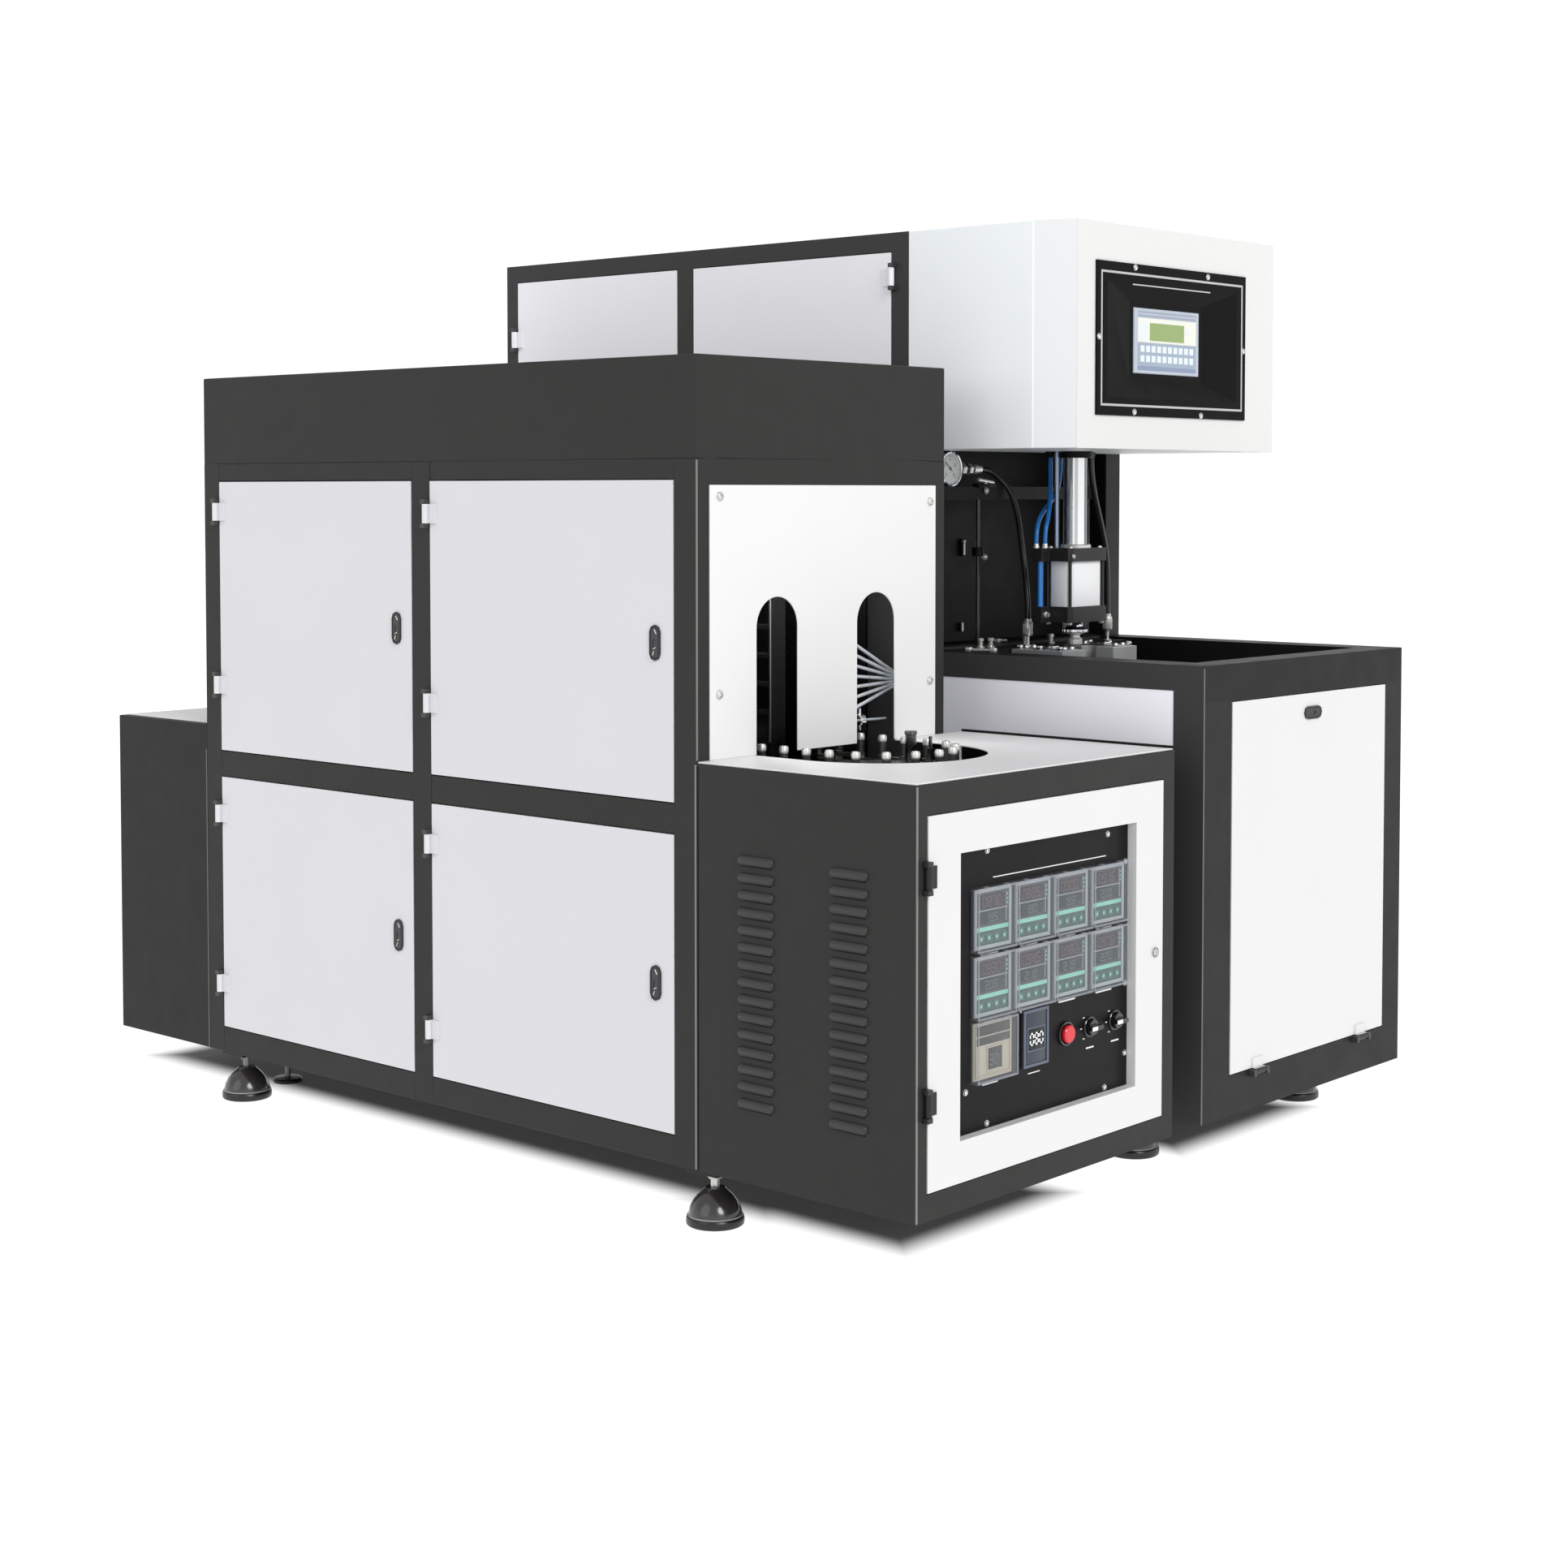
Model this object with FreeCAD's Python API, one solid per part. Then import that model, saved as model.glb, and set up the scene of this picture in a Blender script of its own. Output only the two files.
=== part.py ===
import FreeCAD, Part
import math
import os
from FreeCAD import Vector

# Two-unit stretch blow moulding machine, in millimetres.
# Layout axes: x from the heating unit's left face to the right, y from the control cabinet's
# front face to the back, z up from the floor.  All solids are shifted at the end, so that the
# part's origin is under the middle of its bounding box.

# ---------------------------------------------------------------- driving dimensions
frame_clearance = 95      # floor to the underside of both frames
tube = 50                 # square frame tube
tube_wall = 3
stile_return = 30         # depth of the control cabinet's front rails
sheet = 2                 # folded sheet steel
panel_sheet = 3           # flat cover panels
moving_gap = 0.3          # clearance between sliding or turning faces
door_gap = 2              # round every door

# heating unit
control_width = 707
control_depth = 464
deck_height = 773
deck_sheet = 3
oven_width = 652
front_bay = 622           # clear width of the front door opening
rear_bay = 595
mid_rail_height = 650     # underside of the rail between lower and upper doors
top_rail = 34             # rail over the upper doors
front_top_rail = 50       # rail over the arched panel
top_rail_height = 1237
hood_height = 170
rear_box_length = 311
rear_box_top = 750
lid_rim = 12
lid_lip = 12              # how far the lid lies over the rim of its opening
control_floor_height = 147

# arched front panel and the cut-out in the deck
arch_panel_left = 30
arch_panel_right = 623
arch_panel_top = 1227
arch_half_width = 52
arch_top = 1038
deck_inset = 3
deck_hole_radius = 185
turn_y = 345              # axis of the front sprocket
lane_centre = 325         # midway between the two lanes

# preform chain
chain_pitch = 50.8
sprocket_teeth = 16
straight_pitches = 26
chain_bed_sheet = 3
chain_bed_side = 60
chain_rail_height = 33
chain_rail_width = 24
link_thickness = 6
link_half_width = 9
link_waist = 6
spindle_radius = 6.5
spindle_height = 37
sprocket_thickness = 8
shaft_radius = 15
hub_radius = 32
turning_pin_radius = 9
turning_pin_offset = 85
turning_pin_top = 799
gearbox_side = 130
gearbox_height = 110
motor_radius = 68
motor_length = 200

# lamps
lamp_count = 7
lamp_pitch = 50
first_lamp_height = 830
lamp_radius = 5
lamp_bank_gap = 46        # between the backs of the two banks
lamp_bank_depth = 38
reflector_height = 477
outer_reflector_reach = 69
bank_front_inset = 76     # from the oven's front face
bank_length = 990

# louvres on the control cabinet
louvre_rows = 15
louvre_pitch = 28.3
louvre_length = 79
louvre_reach = 6
louvre_height = 9
louvre_end_slope = 8
louvre_lip = 2
louvre_first_height = 221
louvre_column_rear = 331
louvre_column_front = 134.5

# hinges and latches
hinge_standoff = 7
knuckle_radius = 6
knuckle_height = 35
hinge_pin_radius = 3
hinge_running_fit = 0.05
pin_sides = 8              # of the hinge pins that only steady a door
hinge_tab = 18            # length of the tab on the door's face
hinge_tab_thickness = 3
hinge_lug = 8
door_depth = 20
door_proud = 1
latch_length = 60
latch_radius = 12
latch_bore_radius = 9
latch_body_radius = 10.5
latch_flange = 3.5
latch_depth = 16
paddle_radius = 8.2
paddle_thickness = 4
paddle_pin_radius = 1.2
latch_inset = 41          # from the door's free edge

# control door and instruments
control_stile_left = 26
control_stile_right = 33
control_rail_top = 50
control_rail_bottom = 42
window_left = 108
window_right = 591
window_bottom = 205
window_top = 656
window_reveal = 17
instrument_sheet = 3
controller_size = 96
controller_pitch = 105.4
first_controller_x = 208
controller_rows = (542, 435)
controller_depth = 60
controller_face = 4
cover_wall = 1.5
cover_depth = 15
cover_margin = 2
timer_centre = (210, 332)
timer_width = 100
timer_height = 92
module_centre = (325, 331)
module_width = 68
module_height = 94
button_centre = (412, 322)
button_radius = 15
button_cap = 7
button_travel = 4
button_stem_radius = 6
knob_centres = ((482, 322), (555, 322))
knob_radius = 13
knob_depth = 9
knob_lever_length = 34
knob_lever_width = 8
knob_lever_depth = 8
knob_shaft_radius = 4
control_hinge_heights = (277, 627)
lock_x = 647
lock_height = 427
lock_radius = 8.5
lock_barrel_radius = 7
lock_cam_length = 42
lock_cam_width = 14
lock_cam_thickness = 3

# blowing unit
unit_gap = 92             # between the two units
unit_tie = 40             # square ties that hold the units at their distance
unit_tie_places = (950, 1500)
blower_width = 715
table_depth = 669
table_height = 910
table_side_rail = 46
table_front_rail = 67
table_bottom_rail = 74
table_left_stile = 92
table_right_stile = 65
table_stile_depth = 63
table_latch_drop = 36
table_hinge_inset = 90
rim_width = 70
cabinet_length = 1153
cabinet_height = 1715
cabinet_front_post = 42
cabinet_mid_post = 45
cabinet_rear_post = 35
cabinet_front_bay = 534
cabinet_top_rail = 36
cabinet_hinge_rise = 98
cabinet_hinge_drop = 47
inner_wall_setback = 111
well_depth = 310
well_sheet = 3
foot_rail_front = 166
foot_rail_rear = 1650
panel_inset = 1
head_overhang = 374
head_height = 419
facet_width = 31
facet_depth = 80
hmi_left = 885
hmi_right = 1401
hmi_bottom = 1358
hmi_top = 1644
hmi_flange = 4
hmi_lip = 10
hmi_rim = 34
hmi_dish = 12
hmi_back = 6
screen_left = 1021
screen_right = 1244
screen_bottom = 1440
screen_top = 1564
screen_depth = 8
screen_proud = 3

# blow station
station_y = 530
column_radius = 22.5
flange_width = 128
flange_depth = 72
upper_flange = 26
barrel_width = 112
barrel_depth = 56
barrel_length = 90
lower_flange = 31
upper_flange_top = 1104
guide_rod_radius = 5
nozzle_radius = 15
nozzle_collar_radius = 20
nozzle_rod_radius = 10
nozzle_tip_height = 907
nozzle_collar_height = 9
nozzle_travel = 27
nozzle_seat_gap = 2        # left between the lowered collar and the mould
air_tube_radius = 6
lug_side = 24
bridge_front = 594
bridge_sheet = 8
beam_underside = 1200
beam_height = 26
beam_depth = 21
wall_rod_radius = 4
wall_rod_offset = 105
gauge_x = 945
gauge_radius = 35.5
gauge_depth = 32
black_hose = 12
blue_hose = 9
hose_sides = 6            # of a hose's outline, which keeps the round one's area
fitting_radius = 9
mould_depth = 62
mould_width = 120
mould_top = 905
mould_open = 48            # from the middle to each half's face, when open
platen_thickness = 18
platen_margin = 2
rail_height = 40
rail_width = 20
rail_spacing = 92
bottle_radius = 35
bottle_height = 190
neck_radius = 17
neck_height = 25
shoulder_height = 30

# feet
pad_radius = 49
pad_height = 62
pad_edge = 12
heater_foot_inset = 38
blower_foot_inset = 70
stem_radius = 8
nut_size = 26
nut_height = 12
foot_plate = 70
foot_plate_thickness = 6
small_foot_radius = 30
small_foot_height = 9
small_stem_radius = 6

# ---------------------------------------------------------------- derived places
oven_front = control_depth
mid_post_front = oven_front + tube + front_bay
rear_post_front = mid_post_front + tube + rear_bay
oven_back = rear_post_front + tube
heater_back = oven_back + rear_box_length
base_top = frame_clearance + tube
mid_rail_top = mid_rail_height + tube
hood_bottom = top_rail_height + top_rail
oven_top = hood_bottom + hood_height

sprocket_radius = chain_pitch / (2 * math.sin(math.pi / sprocket_teeth))
lane_left = lane_centre - sprocket_radius
lane_right = lane_centre + sprocket_radius
rear_turn_y = turn_y + straight_pitches * chain_pitch
chain_bed_top = mid_rail_top + chain_bed_sheet
chain_bottom = chain_bed_top + chain_rail_height
chain_top = chain_bottom + 2 * link_thickness

blower_left = control_width + unit_gap
blower_right = blower_left + blower_width
cabinet_front = table_depth
cabinet_back = cabinet_front + cabinet_length
cabinet_mid_front = cabinet_front + cabinet_front_post + cabinet_front_bay
cabinet_rear_front = cabinet_back - cabinet_rear_post
inner_wall_y = cabinet_front + inner_wall_setback
well_floor = table_height - well_depth
head_front = cabinet_front - head_overhang
head_bottom = cabinet_height - head_height
station_x = (blower_left + blower_right) / 2
cylinder_top = upper_flange_top - upper_flange
lower_flange_top = cylinder_top - barrel_length
lower_flange_bottom = lower_flange_top - lower_flange

instrument_face = window_reveal
cover_front = instrument_face - cover_depth

# extremes of the whole part, which fix its origin
hinge_reach = hinge_standoff + knuckle_radius
left_extreme = -hinge_reach
right_extreme = blower_right
front_extreme = -hinge_reach
back_extreme = heater_back
origin = Vector((left_extreme + right_extreme) / 2, (front_extreme + back_extreme) / 2, 0)

X = Vector(1, 0, 0)
Y = Vector(0, 1, 0)
Z = Vector(0, 0, 1)


# ---------------------------------------------------------------- shape helpers
def block(x0, y0, z0, x1, y1, z1):
    return Part.makeBox(x1 - x0, y1 - y0, z1 - z0, Vector(x0, y0, z0))


def cylinder(base, radius, length, axis=Z):
    return Part.makeCylinder(radius, length, base, axis)


def prism(points, direction):
    """A closed polygon pushed along a direction."""
    loop = Part.makePolygon(list(points) + [points[0]])
    return Part.Face(loop).extrude(direction)


def slab(place, u, v, w, u_span, v_span, w_span):
    """A box along three directions u, v and w, measured from a place."""
    start = place + w * w_span[0]
    corners = [start + u * u_span[0] + v * v_span[0], start + u * u_span[1] + v * v_span[0],
               start + u * u_span[1] + v * v_span[1], start + u * u_span[0] + v * v_span[1]]
    return prism(corners, w * (w_span[1] - w_span[0]))


def round_points(centre, u, v, radius, first=0.0, turn=2 * math.pi, steps=12):
    """Points on an arc from direction u towards v."""
    return [centre + u * (radius * math.cos(a)) + v * (radius * math.sin(a))
            for a in (first + turn * k / steps for k in range(steps))]


def rod(base, radius, length, axis=Z, sides=12):
    """A many-sided rod, for round pieces that nothing turns in."""
    u = Y if abs(axis.x) > 0.9 else X
    return prism(round_points(base, u, axis.cross(u), radius, math.pi / sides, steps=sides),
                 axis * length)


def slot(centre, length, radius, depth, long, normal):
    """A long hole's outline with rounded ends, pushed along its normal."""
    side = normal.cross(long)
    reach = length / 2 - radius
    steps = 4
    points = []
    for way in (1, -1):
        end = centre + long * (way * reach)
        points += round_points(end, side * way, long * way, radius, turn=math.pi, steps=steps)
        points.append(end - side * (way * radius))
    return prism(points, normal * depth)


def square_tube(x0, y0, z0, x1, y1, z1):
    """A hollow tube along its longest side."""
    spans = (x1 - x0, y1 - y0, z1 - z0)
    inset = [0 if span == max(spans) else tube_wall for span in spans]
    outside = block(x0, y0, z0, x1, y1, z1)
    inside = block(x0 + inset[0], y0 + inset[1], z0 + inset[2],
                   x1 - inset[0], y1 - inset[1], z1 - inset[2])
    return outside.cut(inside)


def banded(rings):
    """A solid of flat faces between rings that have the same number of points."""
    first, last = rings[0], rings[-1]
    faces = [Part.Face(Part.makePolygon(ring + [ring[0]])) for ring in (first, last)]
    for low, high in zip(rings, rings[1:]):
        for k, corner in enumerate(low):
            beside = (k + 1) % len(low)
            for three in ((corner, low[beside], high[beside]), (corner, high[beside], high[k])):
                if (three[1] - three[0]).cross(three[2] - three[0]).Length > 1e-6:
                    faces.append(Part.Face(Part.makePolygon([*three, three[0]])))
    shell = Part.Shell(faces)
    shell.sewShape()
    solid = Part.Solid(shell)
    if solid.Volume < 0:
        solid.reverse()
    return solid.removeSplitter()


def stacked(profile, centre, sides):
    """A many-sided turned form about an upright axis, from (radius, height) points."""
    return banded([round_points(Vector(centre.x, centre.y, height), X, Y, radius, steps=sides)
                   for radius, height in profile])


# ---------------------------------------------------------------- hinges, doors and latches
def hinge_pin(start, length, axis, bearing):
    """A pin: round where the door bears on it, many-sided in the door's other hinges."""
    if bearing:
        return cylinder(start, hinge_pin_radius, length, axis)
    return rod(start, hinge_pin_radius, length, axis, pin_sides)


def knuckle_hole(start, length, axis, bearing):
    radius = hinge_pin_radius + hinge_running_fit
    if bearing:
        return cylinder(start, radius, length, axis)
    return rod(start, radius / math.cos(math.pi / pin_sides), length, axis, pin_sides)


def hinge_bracket(axis_point, towards_door, outward, bearing):
    """The fixed half of a hinge: two lugs on the frame's face and the pin between them."""
    half = knuckle_height / 2 + door_gap / 4
    lug_span = (-knuckle_radius - 2, knuckle_radius - door_gap)
    reach = (-hinge_standoff, knuckle_radius)
    upper = slab(axis_point, towards_door, outward, Z, lug_span, reach, (half, half + hinge_lug))
    lower = slab(axis_point, towards_door, outward, Z, lug_span, reach, (-half - hinge_lug, -half))
    pin = hinge_pin(axis_point - Z * (half + hinge_lug / 2), 2 * half + hinge_lug, Z, bearing)
    return upper.fuse([lower, pin]).removeSplitter()


def hinge_knuckle(axis_point, towards_door, outward):
    """The door's half: a round knuckle and the tab that lies on the door's face."""
    half = knuckle_height / 2
    face = hinge_standoff - door_proud
    knuckle = rod(axis_point - Z * half, knuckle_radius, knuckle_height)
    tab = slab(axis_point, towards_door, outward, Z, (0, knuckle_radius + hinge_tab),
               (-face, -face + hinge_tab_thickness), (-half, half))
    return knuckle.fuse(tab)


def side_door(face_x, hinge_edge, free_edge, bottom, top, hinge_heights, latch_height=None):
    """A folded door tray in a left-hand face, hung on its hinge edge and open at the back."""
    outer = face_x - door_proud
    low, high = min(hinge_edge, free_edge), max(hinge_edge, free_edge)
    door = block(outer, low, bottom, outer + door_depth, high, top)
    door = door.cut(block(outer + sheet, low + sheet, bottom + sheet,
                          outer + door_depth, high - sheet, top - sheet))
    inward = Y if free_edge > hinge_edge else -Y
    axis_x, axis_y = side_door_axis(face_x, hinge_edge, free_edge)
    for height in hinge_heights:
        place = Vector(axis_x, axis_y, height)
        hole = knuckle_hole(place - Z * knuckle_height, 2 * knuckle_height, Z,
                            height == hinge_heights[0])
        door = door.fuse(hinge_knuckle(place, inward, -X)).cut(hole)
    if latch_height is not None:
        centre = Vector(outer, free_edge - inward.y * latch_inset, latch_height)
        hole = latch_length - 2 * (latch_radius - latch_body_radius)
        door = door.cut(slot(centre, hole, latch_body_radius, sheet, Z, X))
    return door


def side_door_axis(face_x, hinge_edge, free_edge):
    """Where a side door's hinge axis stands."""
    away = 1 if hinge_edge > free_edge else -1
    return face_x - hinge_standoff, hinge_edge + away * knuckle_radius


def latch_housing(centre, long, outward):
    """The bezel and cup of a flush latch, with the cross pin that its paddle turns on."""
    body_length = latch_length - 2 * (latch_radius - latch_body_radius)
    bore_length = latch_length - 2 * (latch_radius - latch_bore_radius)
    flange = slot(centre, latch_length, latch_radius, latch_flange, long, outward)
    cup = slot(centre, body_length, latch_body_radius, latch_depth, long, -outward)
    front = centre + outward * latch_flange
    hollow = slot(front, bore_length, latch_bore_radius, latch_flange + latch_depth - sheet,
                  long, -outward)
    across = outward.cross(long)
    pin_place = paddle_axis(centre, long, outward)
    pin = cylinder(pin_place - across * latch_body_radius, paddle_pin_radius,
                   2 * latch_body_radius, across)
    return flange.fuse(cup).cut(hollow).fuse(pin)


def paddle_axis(centre, long, outward):
    """The turning axis, in the paddle's own middle plane near its upper end."""
    reach = latch_length / 2 - latch_radius
    return centre + long * reach + outward * (latch_flange - moving_gap - paddle_thickness / 2)


def latch_paddle(centre, long, outward):
    length = latch_length - 2 * (latch_radius - paddle_radius)
    front = centre + outward * (latch_flange - moving_gap)
    paddle = slot(front, length, paddle_radius, paddle_thickness, long, -outward)
    across = outward.cross(long)
    bore = cylinder(paddle_axis(centre, long, outward) - across * latch_radius,
                    paddle_pin_radius + hinge_running_fit, 2 * latch_radius, across)
    finger = slot(front - long * latch_radius / 2, length / 2, paddle_radius / 2, 1, long, -outward)
    return paddle.cut(bore).cut(finger)


# ---------------------------------------------------------------- heating unit frame
def heater_tubes():
    right = oven_width - tube
    posts = [(x, y) for x in (0, right) for y in (oven_front, mid_post_front, rear_post_front)]
    tubes = [square_tube(x, y, frame_clearance, x + tube, y + tube, hood_bottom) for x, y in posts]
    levels = ((frame_clearance, base_top), (mid_rail_height, mid_rail_top),
              (top_rail_height, hood_bottom))
    bays = ((oven_front + tube, mid_post_front), (mid_post_front + tube, rear_post_front))
    for low, high in levels:
        for start, end in bays:
            for x in (0, right):
                tubes.append(square_tube(x, start, low, x + tube, end, high))
        for y in (mid_post_front, rear_post_front):
            tubes.append(square_tube(tube, y, low, right, y + tube, high))
    for low in (frame_clearance, mid_rail_height, hood_bottom - front_top_rail):
        tubes.append(square_tube(tube, oven_front, low, right, oven_front + tube,
                                 low + front_top_rail))
    return tubes


def control_carriers():
    """The base tubes and cross tube that carry the control cabinet on the oven's frame."""
    inset = 2 * lid_rim
    front = tube
    tubes = [square_tube(x, front, frame_clearance, x + tube, oven_front, base_top)
             for x in (inset, oven_width - inset - tube)]
    tubes.append(square_tube(sheet, front, mid_rail_height, control_width - sheet, 2 * tube,
                             mid_rail_top))
    tubes.append(block(sheet, front, base_top, control_width - sheet, oven_front,
                       control_floor_height))
    return tubes


def chain_bed():
    """The bed plate with its drive opening, and the two rails that the chain slides on."""
    bed = block(chain_bed_side, tube + 10, mid_rail_top, oven_width - chain_bed_side,
                rear_post_front + tube / 2, chain_bed_top)
    drive_hole = cylinder(Vector(lane_centre, rear_turn_y, mid_rail_top), shaft_radius + 1,
                          chain_bed_sheet)
    rails = [block(x - chain_rail_width / 2, turn_y, chain_bed_top, x + chain_rail_width / 2,
                   rear_turn_y, chain_bottom) for x in (lane_left, lane_right)]
    return [bed.cut(drive_hole)] + rails


# ---------------------------------------------------------------- preform chain
def chain_joints():
    """The chain's joints, round both sprockets and along the two lanes."""
    joints = []
    step = 2 * math.pi / sprocket_teeth
    for k in range(straight_pitches):
        joints.append(Vector(lane_left, rear_turn_y - k * chain_pitch, 0))
    for k in range(sprocket_teeth // 2):
        angle = math.pi + k * step
        joints.append(Vector(lane_centre + sprocket_radius * math.cos(angle),
                             turn_y + sprocket_radius * math.sin(angle), 0))
    for k in range(straight_pitches):
        joints.append(Vector(lane_right, turn_y + k * chain_pitch, 0))
    for k in range(sprocket_teeth // 2):
        angle = k * step
        joints.append(Vector(lane_centre + sprocket_radius * math.cos(angle),
                             rear_turn_y + sprocket_radius * math.sin(angle), 0))
    return joints


def link_plate(start, end, height):
    """A waisted link plate that reaches a little past the two joints it holds."""
    along = (end - start).normalize()
    across = Z.cross(along)
    middle = (start + end) / 2
    lift = Z * height
    outline = [start - along * link_half_width, start + across * link_half_width,
               middle + across * link_waist, end + across * link_half_width,
               end + along * link_half_width, end - across * link_half_width,
               middle - across * link_waist, start - across * link_half_width]
    return prism([point + lift for point in outline], Z * link_thickness)


def conveyor_chain():
    """Lower and upper links in turn, with one preform spindle standing on every joint."""
    joints = chain_joints()
    solids = []
    for k, start in enumerate(joints):
        end = joints[(k + 1) % len(joints)]
        height = chain_bottom if k % 2 == 0 else chain_bottom + link_thickness
        solids.append(link_plate(start, end, height))
    for joint in joints:
        foot = joint + Z * chain_top
        solids.append(rod(foot, spindle_radius, spindle_height, sides=5))
    return solids


def sprocket(y, turning_pin):
    """A toothed disc whose teeth reach into the waists of the links, on its hub and shaft."""
    height = chain_bottom + link_thickness - sprocket_thickness / 2
    centre = Vector(lane_centre, y, height)
    step = 2 * math.pi / sprocket_teeth
    root = sprocket_radius - link_half_width - 3
    tip = sprocket_radius * math.cos(step / 2) - link_waist - 1
    outline = []
    for k in range(sprocket_teeth):
        for share, radius in ((-0.22, root), (0.22, root), (0.42, tip), (0.58, tip)):
            angle = (k + share) * step
            outline.append(centre + Vector(math.cos(angle), math.sin(angle), 0) * radius)
    disc = prism(outline, Z * sprocket_thickness)
    foot = Vector(lane_centre, y, chain_bed_top)
    hub = rod(foot, hub_radius, height - chain_bed_top, sides=16)
    shaft = rod(foot, shaft_radius, chain_top - chain_bed_top)
    pieces = [hub, shaft]
    if turning_pin:
        place = Vector(lane_centre + turning_pin_offset, y, height)
        pieces.append(rod(place, turning_pin_radius, turning_pin_top - height))
    return disc.fuse(pieces)


def drive_motor():
    """Gearbox under the bed plate, its output shaft in the plate's hole, and the motor."""
    half = gearbox_side / 2
    box = block(lane_centre - half, rear_turn_y - half, mid_rail_top - gearbox_height,
                lane_centre + half, rear_turn_y + half, mid_rail_top)
    box = box.makeChamfer(8, [edge for edge in box.Edges if abs(edge.tangentAt(0).z) > 0.9])
    low = mid_rail_top - gearbox_height
    shaft = rod(Vector(lane_centre, rear_turn_y, mid_rail_top), shaft_radius, chain_bed_sheet)
    motor = rod(Vector(lane_centre, rear_turn_y, low - motor_length), motor_radius,
                motor_length, sides=16)
    fins = [slab(Vector(lane_centre, rear_turn_y, low), direction, Z.cross(direction), Z,
                 (motor_radius - 10, motor_radius + 6), (offset - 1.5, offset + 1.5),
                 (-motor_length + 30, -20))
            for direction in (X, Y, -X, -Y) for offset in (-24, -12, 0, 12, 24)]
    return box.fuse([shaft, motor] + fins)


def lamp_bank(side):
    """A channel reflector with lamps between its end flanges; side is -1 or 1."""
    front = oven_front + bank_front_inset
    back = front + bank_length
    low, high = chain_bed_top, chain_bed_top + reflector_height
    near = lane_centre + side * lamp_bank_gap / 2
    wall = near + side * sheet
    face = near + side * (sheet + lamp_bank_depth)
    sheet_span = sorted((near, wall))
    reach = sorted((near, face))
    channel = block(sheet_span[0], front, low, sheet_span[1], back, high)
    flanges = [block(reach[0], y, low, reach[1], y + sheet, high) for y in (front, back - sheet)]
    channel = channel.fuse(flanges).removeSplitter()
    lamp_x = wall + side * lamp_bank_depth / 2
    lamps = [rod(Vector(lamp_x, front + sheet, first_lamp_height + k * lamp_pitch),
                 lamp_radius, bank_length - 2 * sheet, Y, 8) for k in range(lamp_count)]
    outer_x = lane_centre + side * (sprocket_radius + outer_reflector_reach)
    outer = block(outer_x - sheet / 2, front, low, outer_x + sheet / 2, back, high)
    return channel, outer, lamps


# ---------------------------------------------------------------- heating unit covers
def unit_ties():
    """Short tubes low down between the two units' base tubes."""
    low = frame_clearance + (tube - unit_tie) / 2
    return [square_tube(oven_width, y, low, blower_left, y + unit_tie, low + unit_tie)
            for y in unit_tie_places]


def oven_hood():
    top = block(0, oven_front, hood_bottom, oven_width, oven_back, oven_top)
    upper = [edge for edge in top.Edges
             if abs(edge.CenterOfMass.z - oven_top) < 1e-6]
    top = top.makeFillet(3, upper)
    return top.cut(block(sheet, oven_front + sheet, hood_bottom,
                         oven_width - sheet, oven_back - sheet, oven_top - sheet))


def arch_panel():
    """The flat front panel with a round-headed gateway over each lane."""
    front = oven_front - panel_sheet
    panel = block(arch_panel_left, front, deck_height, arch_panel_right, oven_front,
                  arch_panel_top)
    for x in (lane_left, lane_right):
        top_centre = arch_top - arch_half_width
        gate = block(x - arch_half_width, front, deck_height, x + arch_half_width, oven_front,
                     top_centre)
        head = cylinder(Vector(x, front, top_centre), arch_half_width, panel_sheet, Y)
        panel = panel.cut(gate.fuse(head))
    return panel


def heater_fixed_panels():
    """Flat covers in the frame on the right-hand side and the back."""
    outer = oven_width - panel_inset
    levels = ((base_top, mid_rail_height), (mid_rail_top, top_rail_height))
    bays = ((oven_front + tube, mid_post_front), (mid_post_front + tube, rear_post_front))
    panels = [block(outer - panel_sheet, start, low, outer, end, high)
              for low, high in levels for start, end in bays]
    back = oven_back - panel_inset
    panels.append(block(tube, back - panel_sheet, mid_rail_top, oven_width - tube, back,
                        top_rail_height))
    return panels


def rear_housing():
    shell = block(0, oven_back, frame_clearance, oven_width, heater_back, rear_box_top)
    shell = shell.cut(block(sheet, oven_back, frame_clearance + sheet, oven_width - sheet,
                            heater_back - sheet, rear_box_top - sheet))
    rim = lid_rim + lid_lip
    return shell.cut(block(rim, oven_back + rim, rear_box_top - sheet, oven_width - rim,
                           heater_back - rim, rear_box_top))


def rear_housing_lid():
    return block(lid_rim, oven_back + lid_rim, rear_box_top, oven_width - lid_rim,
                 heater_back - lid_rim, rear_box_top + sheet)


def louvre(centre_y, height):
    """A pressed louvre: a hood that slopes in to its ends and its top, open underneath."""
    rings = []
    for reach, shrink, top in ((0, 0, louvre_height), (-louvre_reach / 2, 1, louvre_height * 0.85),
                               (-louvre_reach, louvre_end_slope, louvre_height * 0.35)):
        half = louvre_length / 2 - shrink
        rings.append([Vector(reach, centre_y - half, height),
                      Vector(reach, centre_y + half, height),
                      Vector(reach, centre_y + half, height + top),
                      Vector(reach, centre_y - half, height + top)])
    hood = banded(rings)
    half = louvre_length / 2 - louvre_end_slope - louvre_lip
    lip = block(-louvre_reach + louvre_lip, centre_y - half, height, 0, centre_y + half,
                height + louvre_lip)
    return hood.cut(lip)


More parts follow.
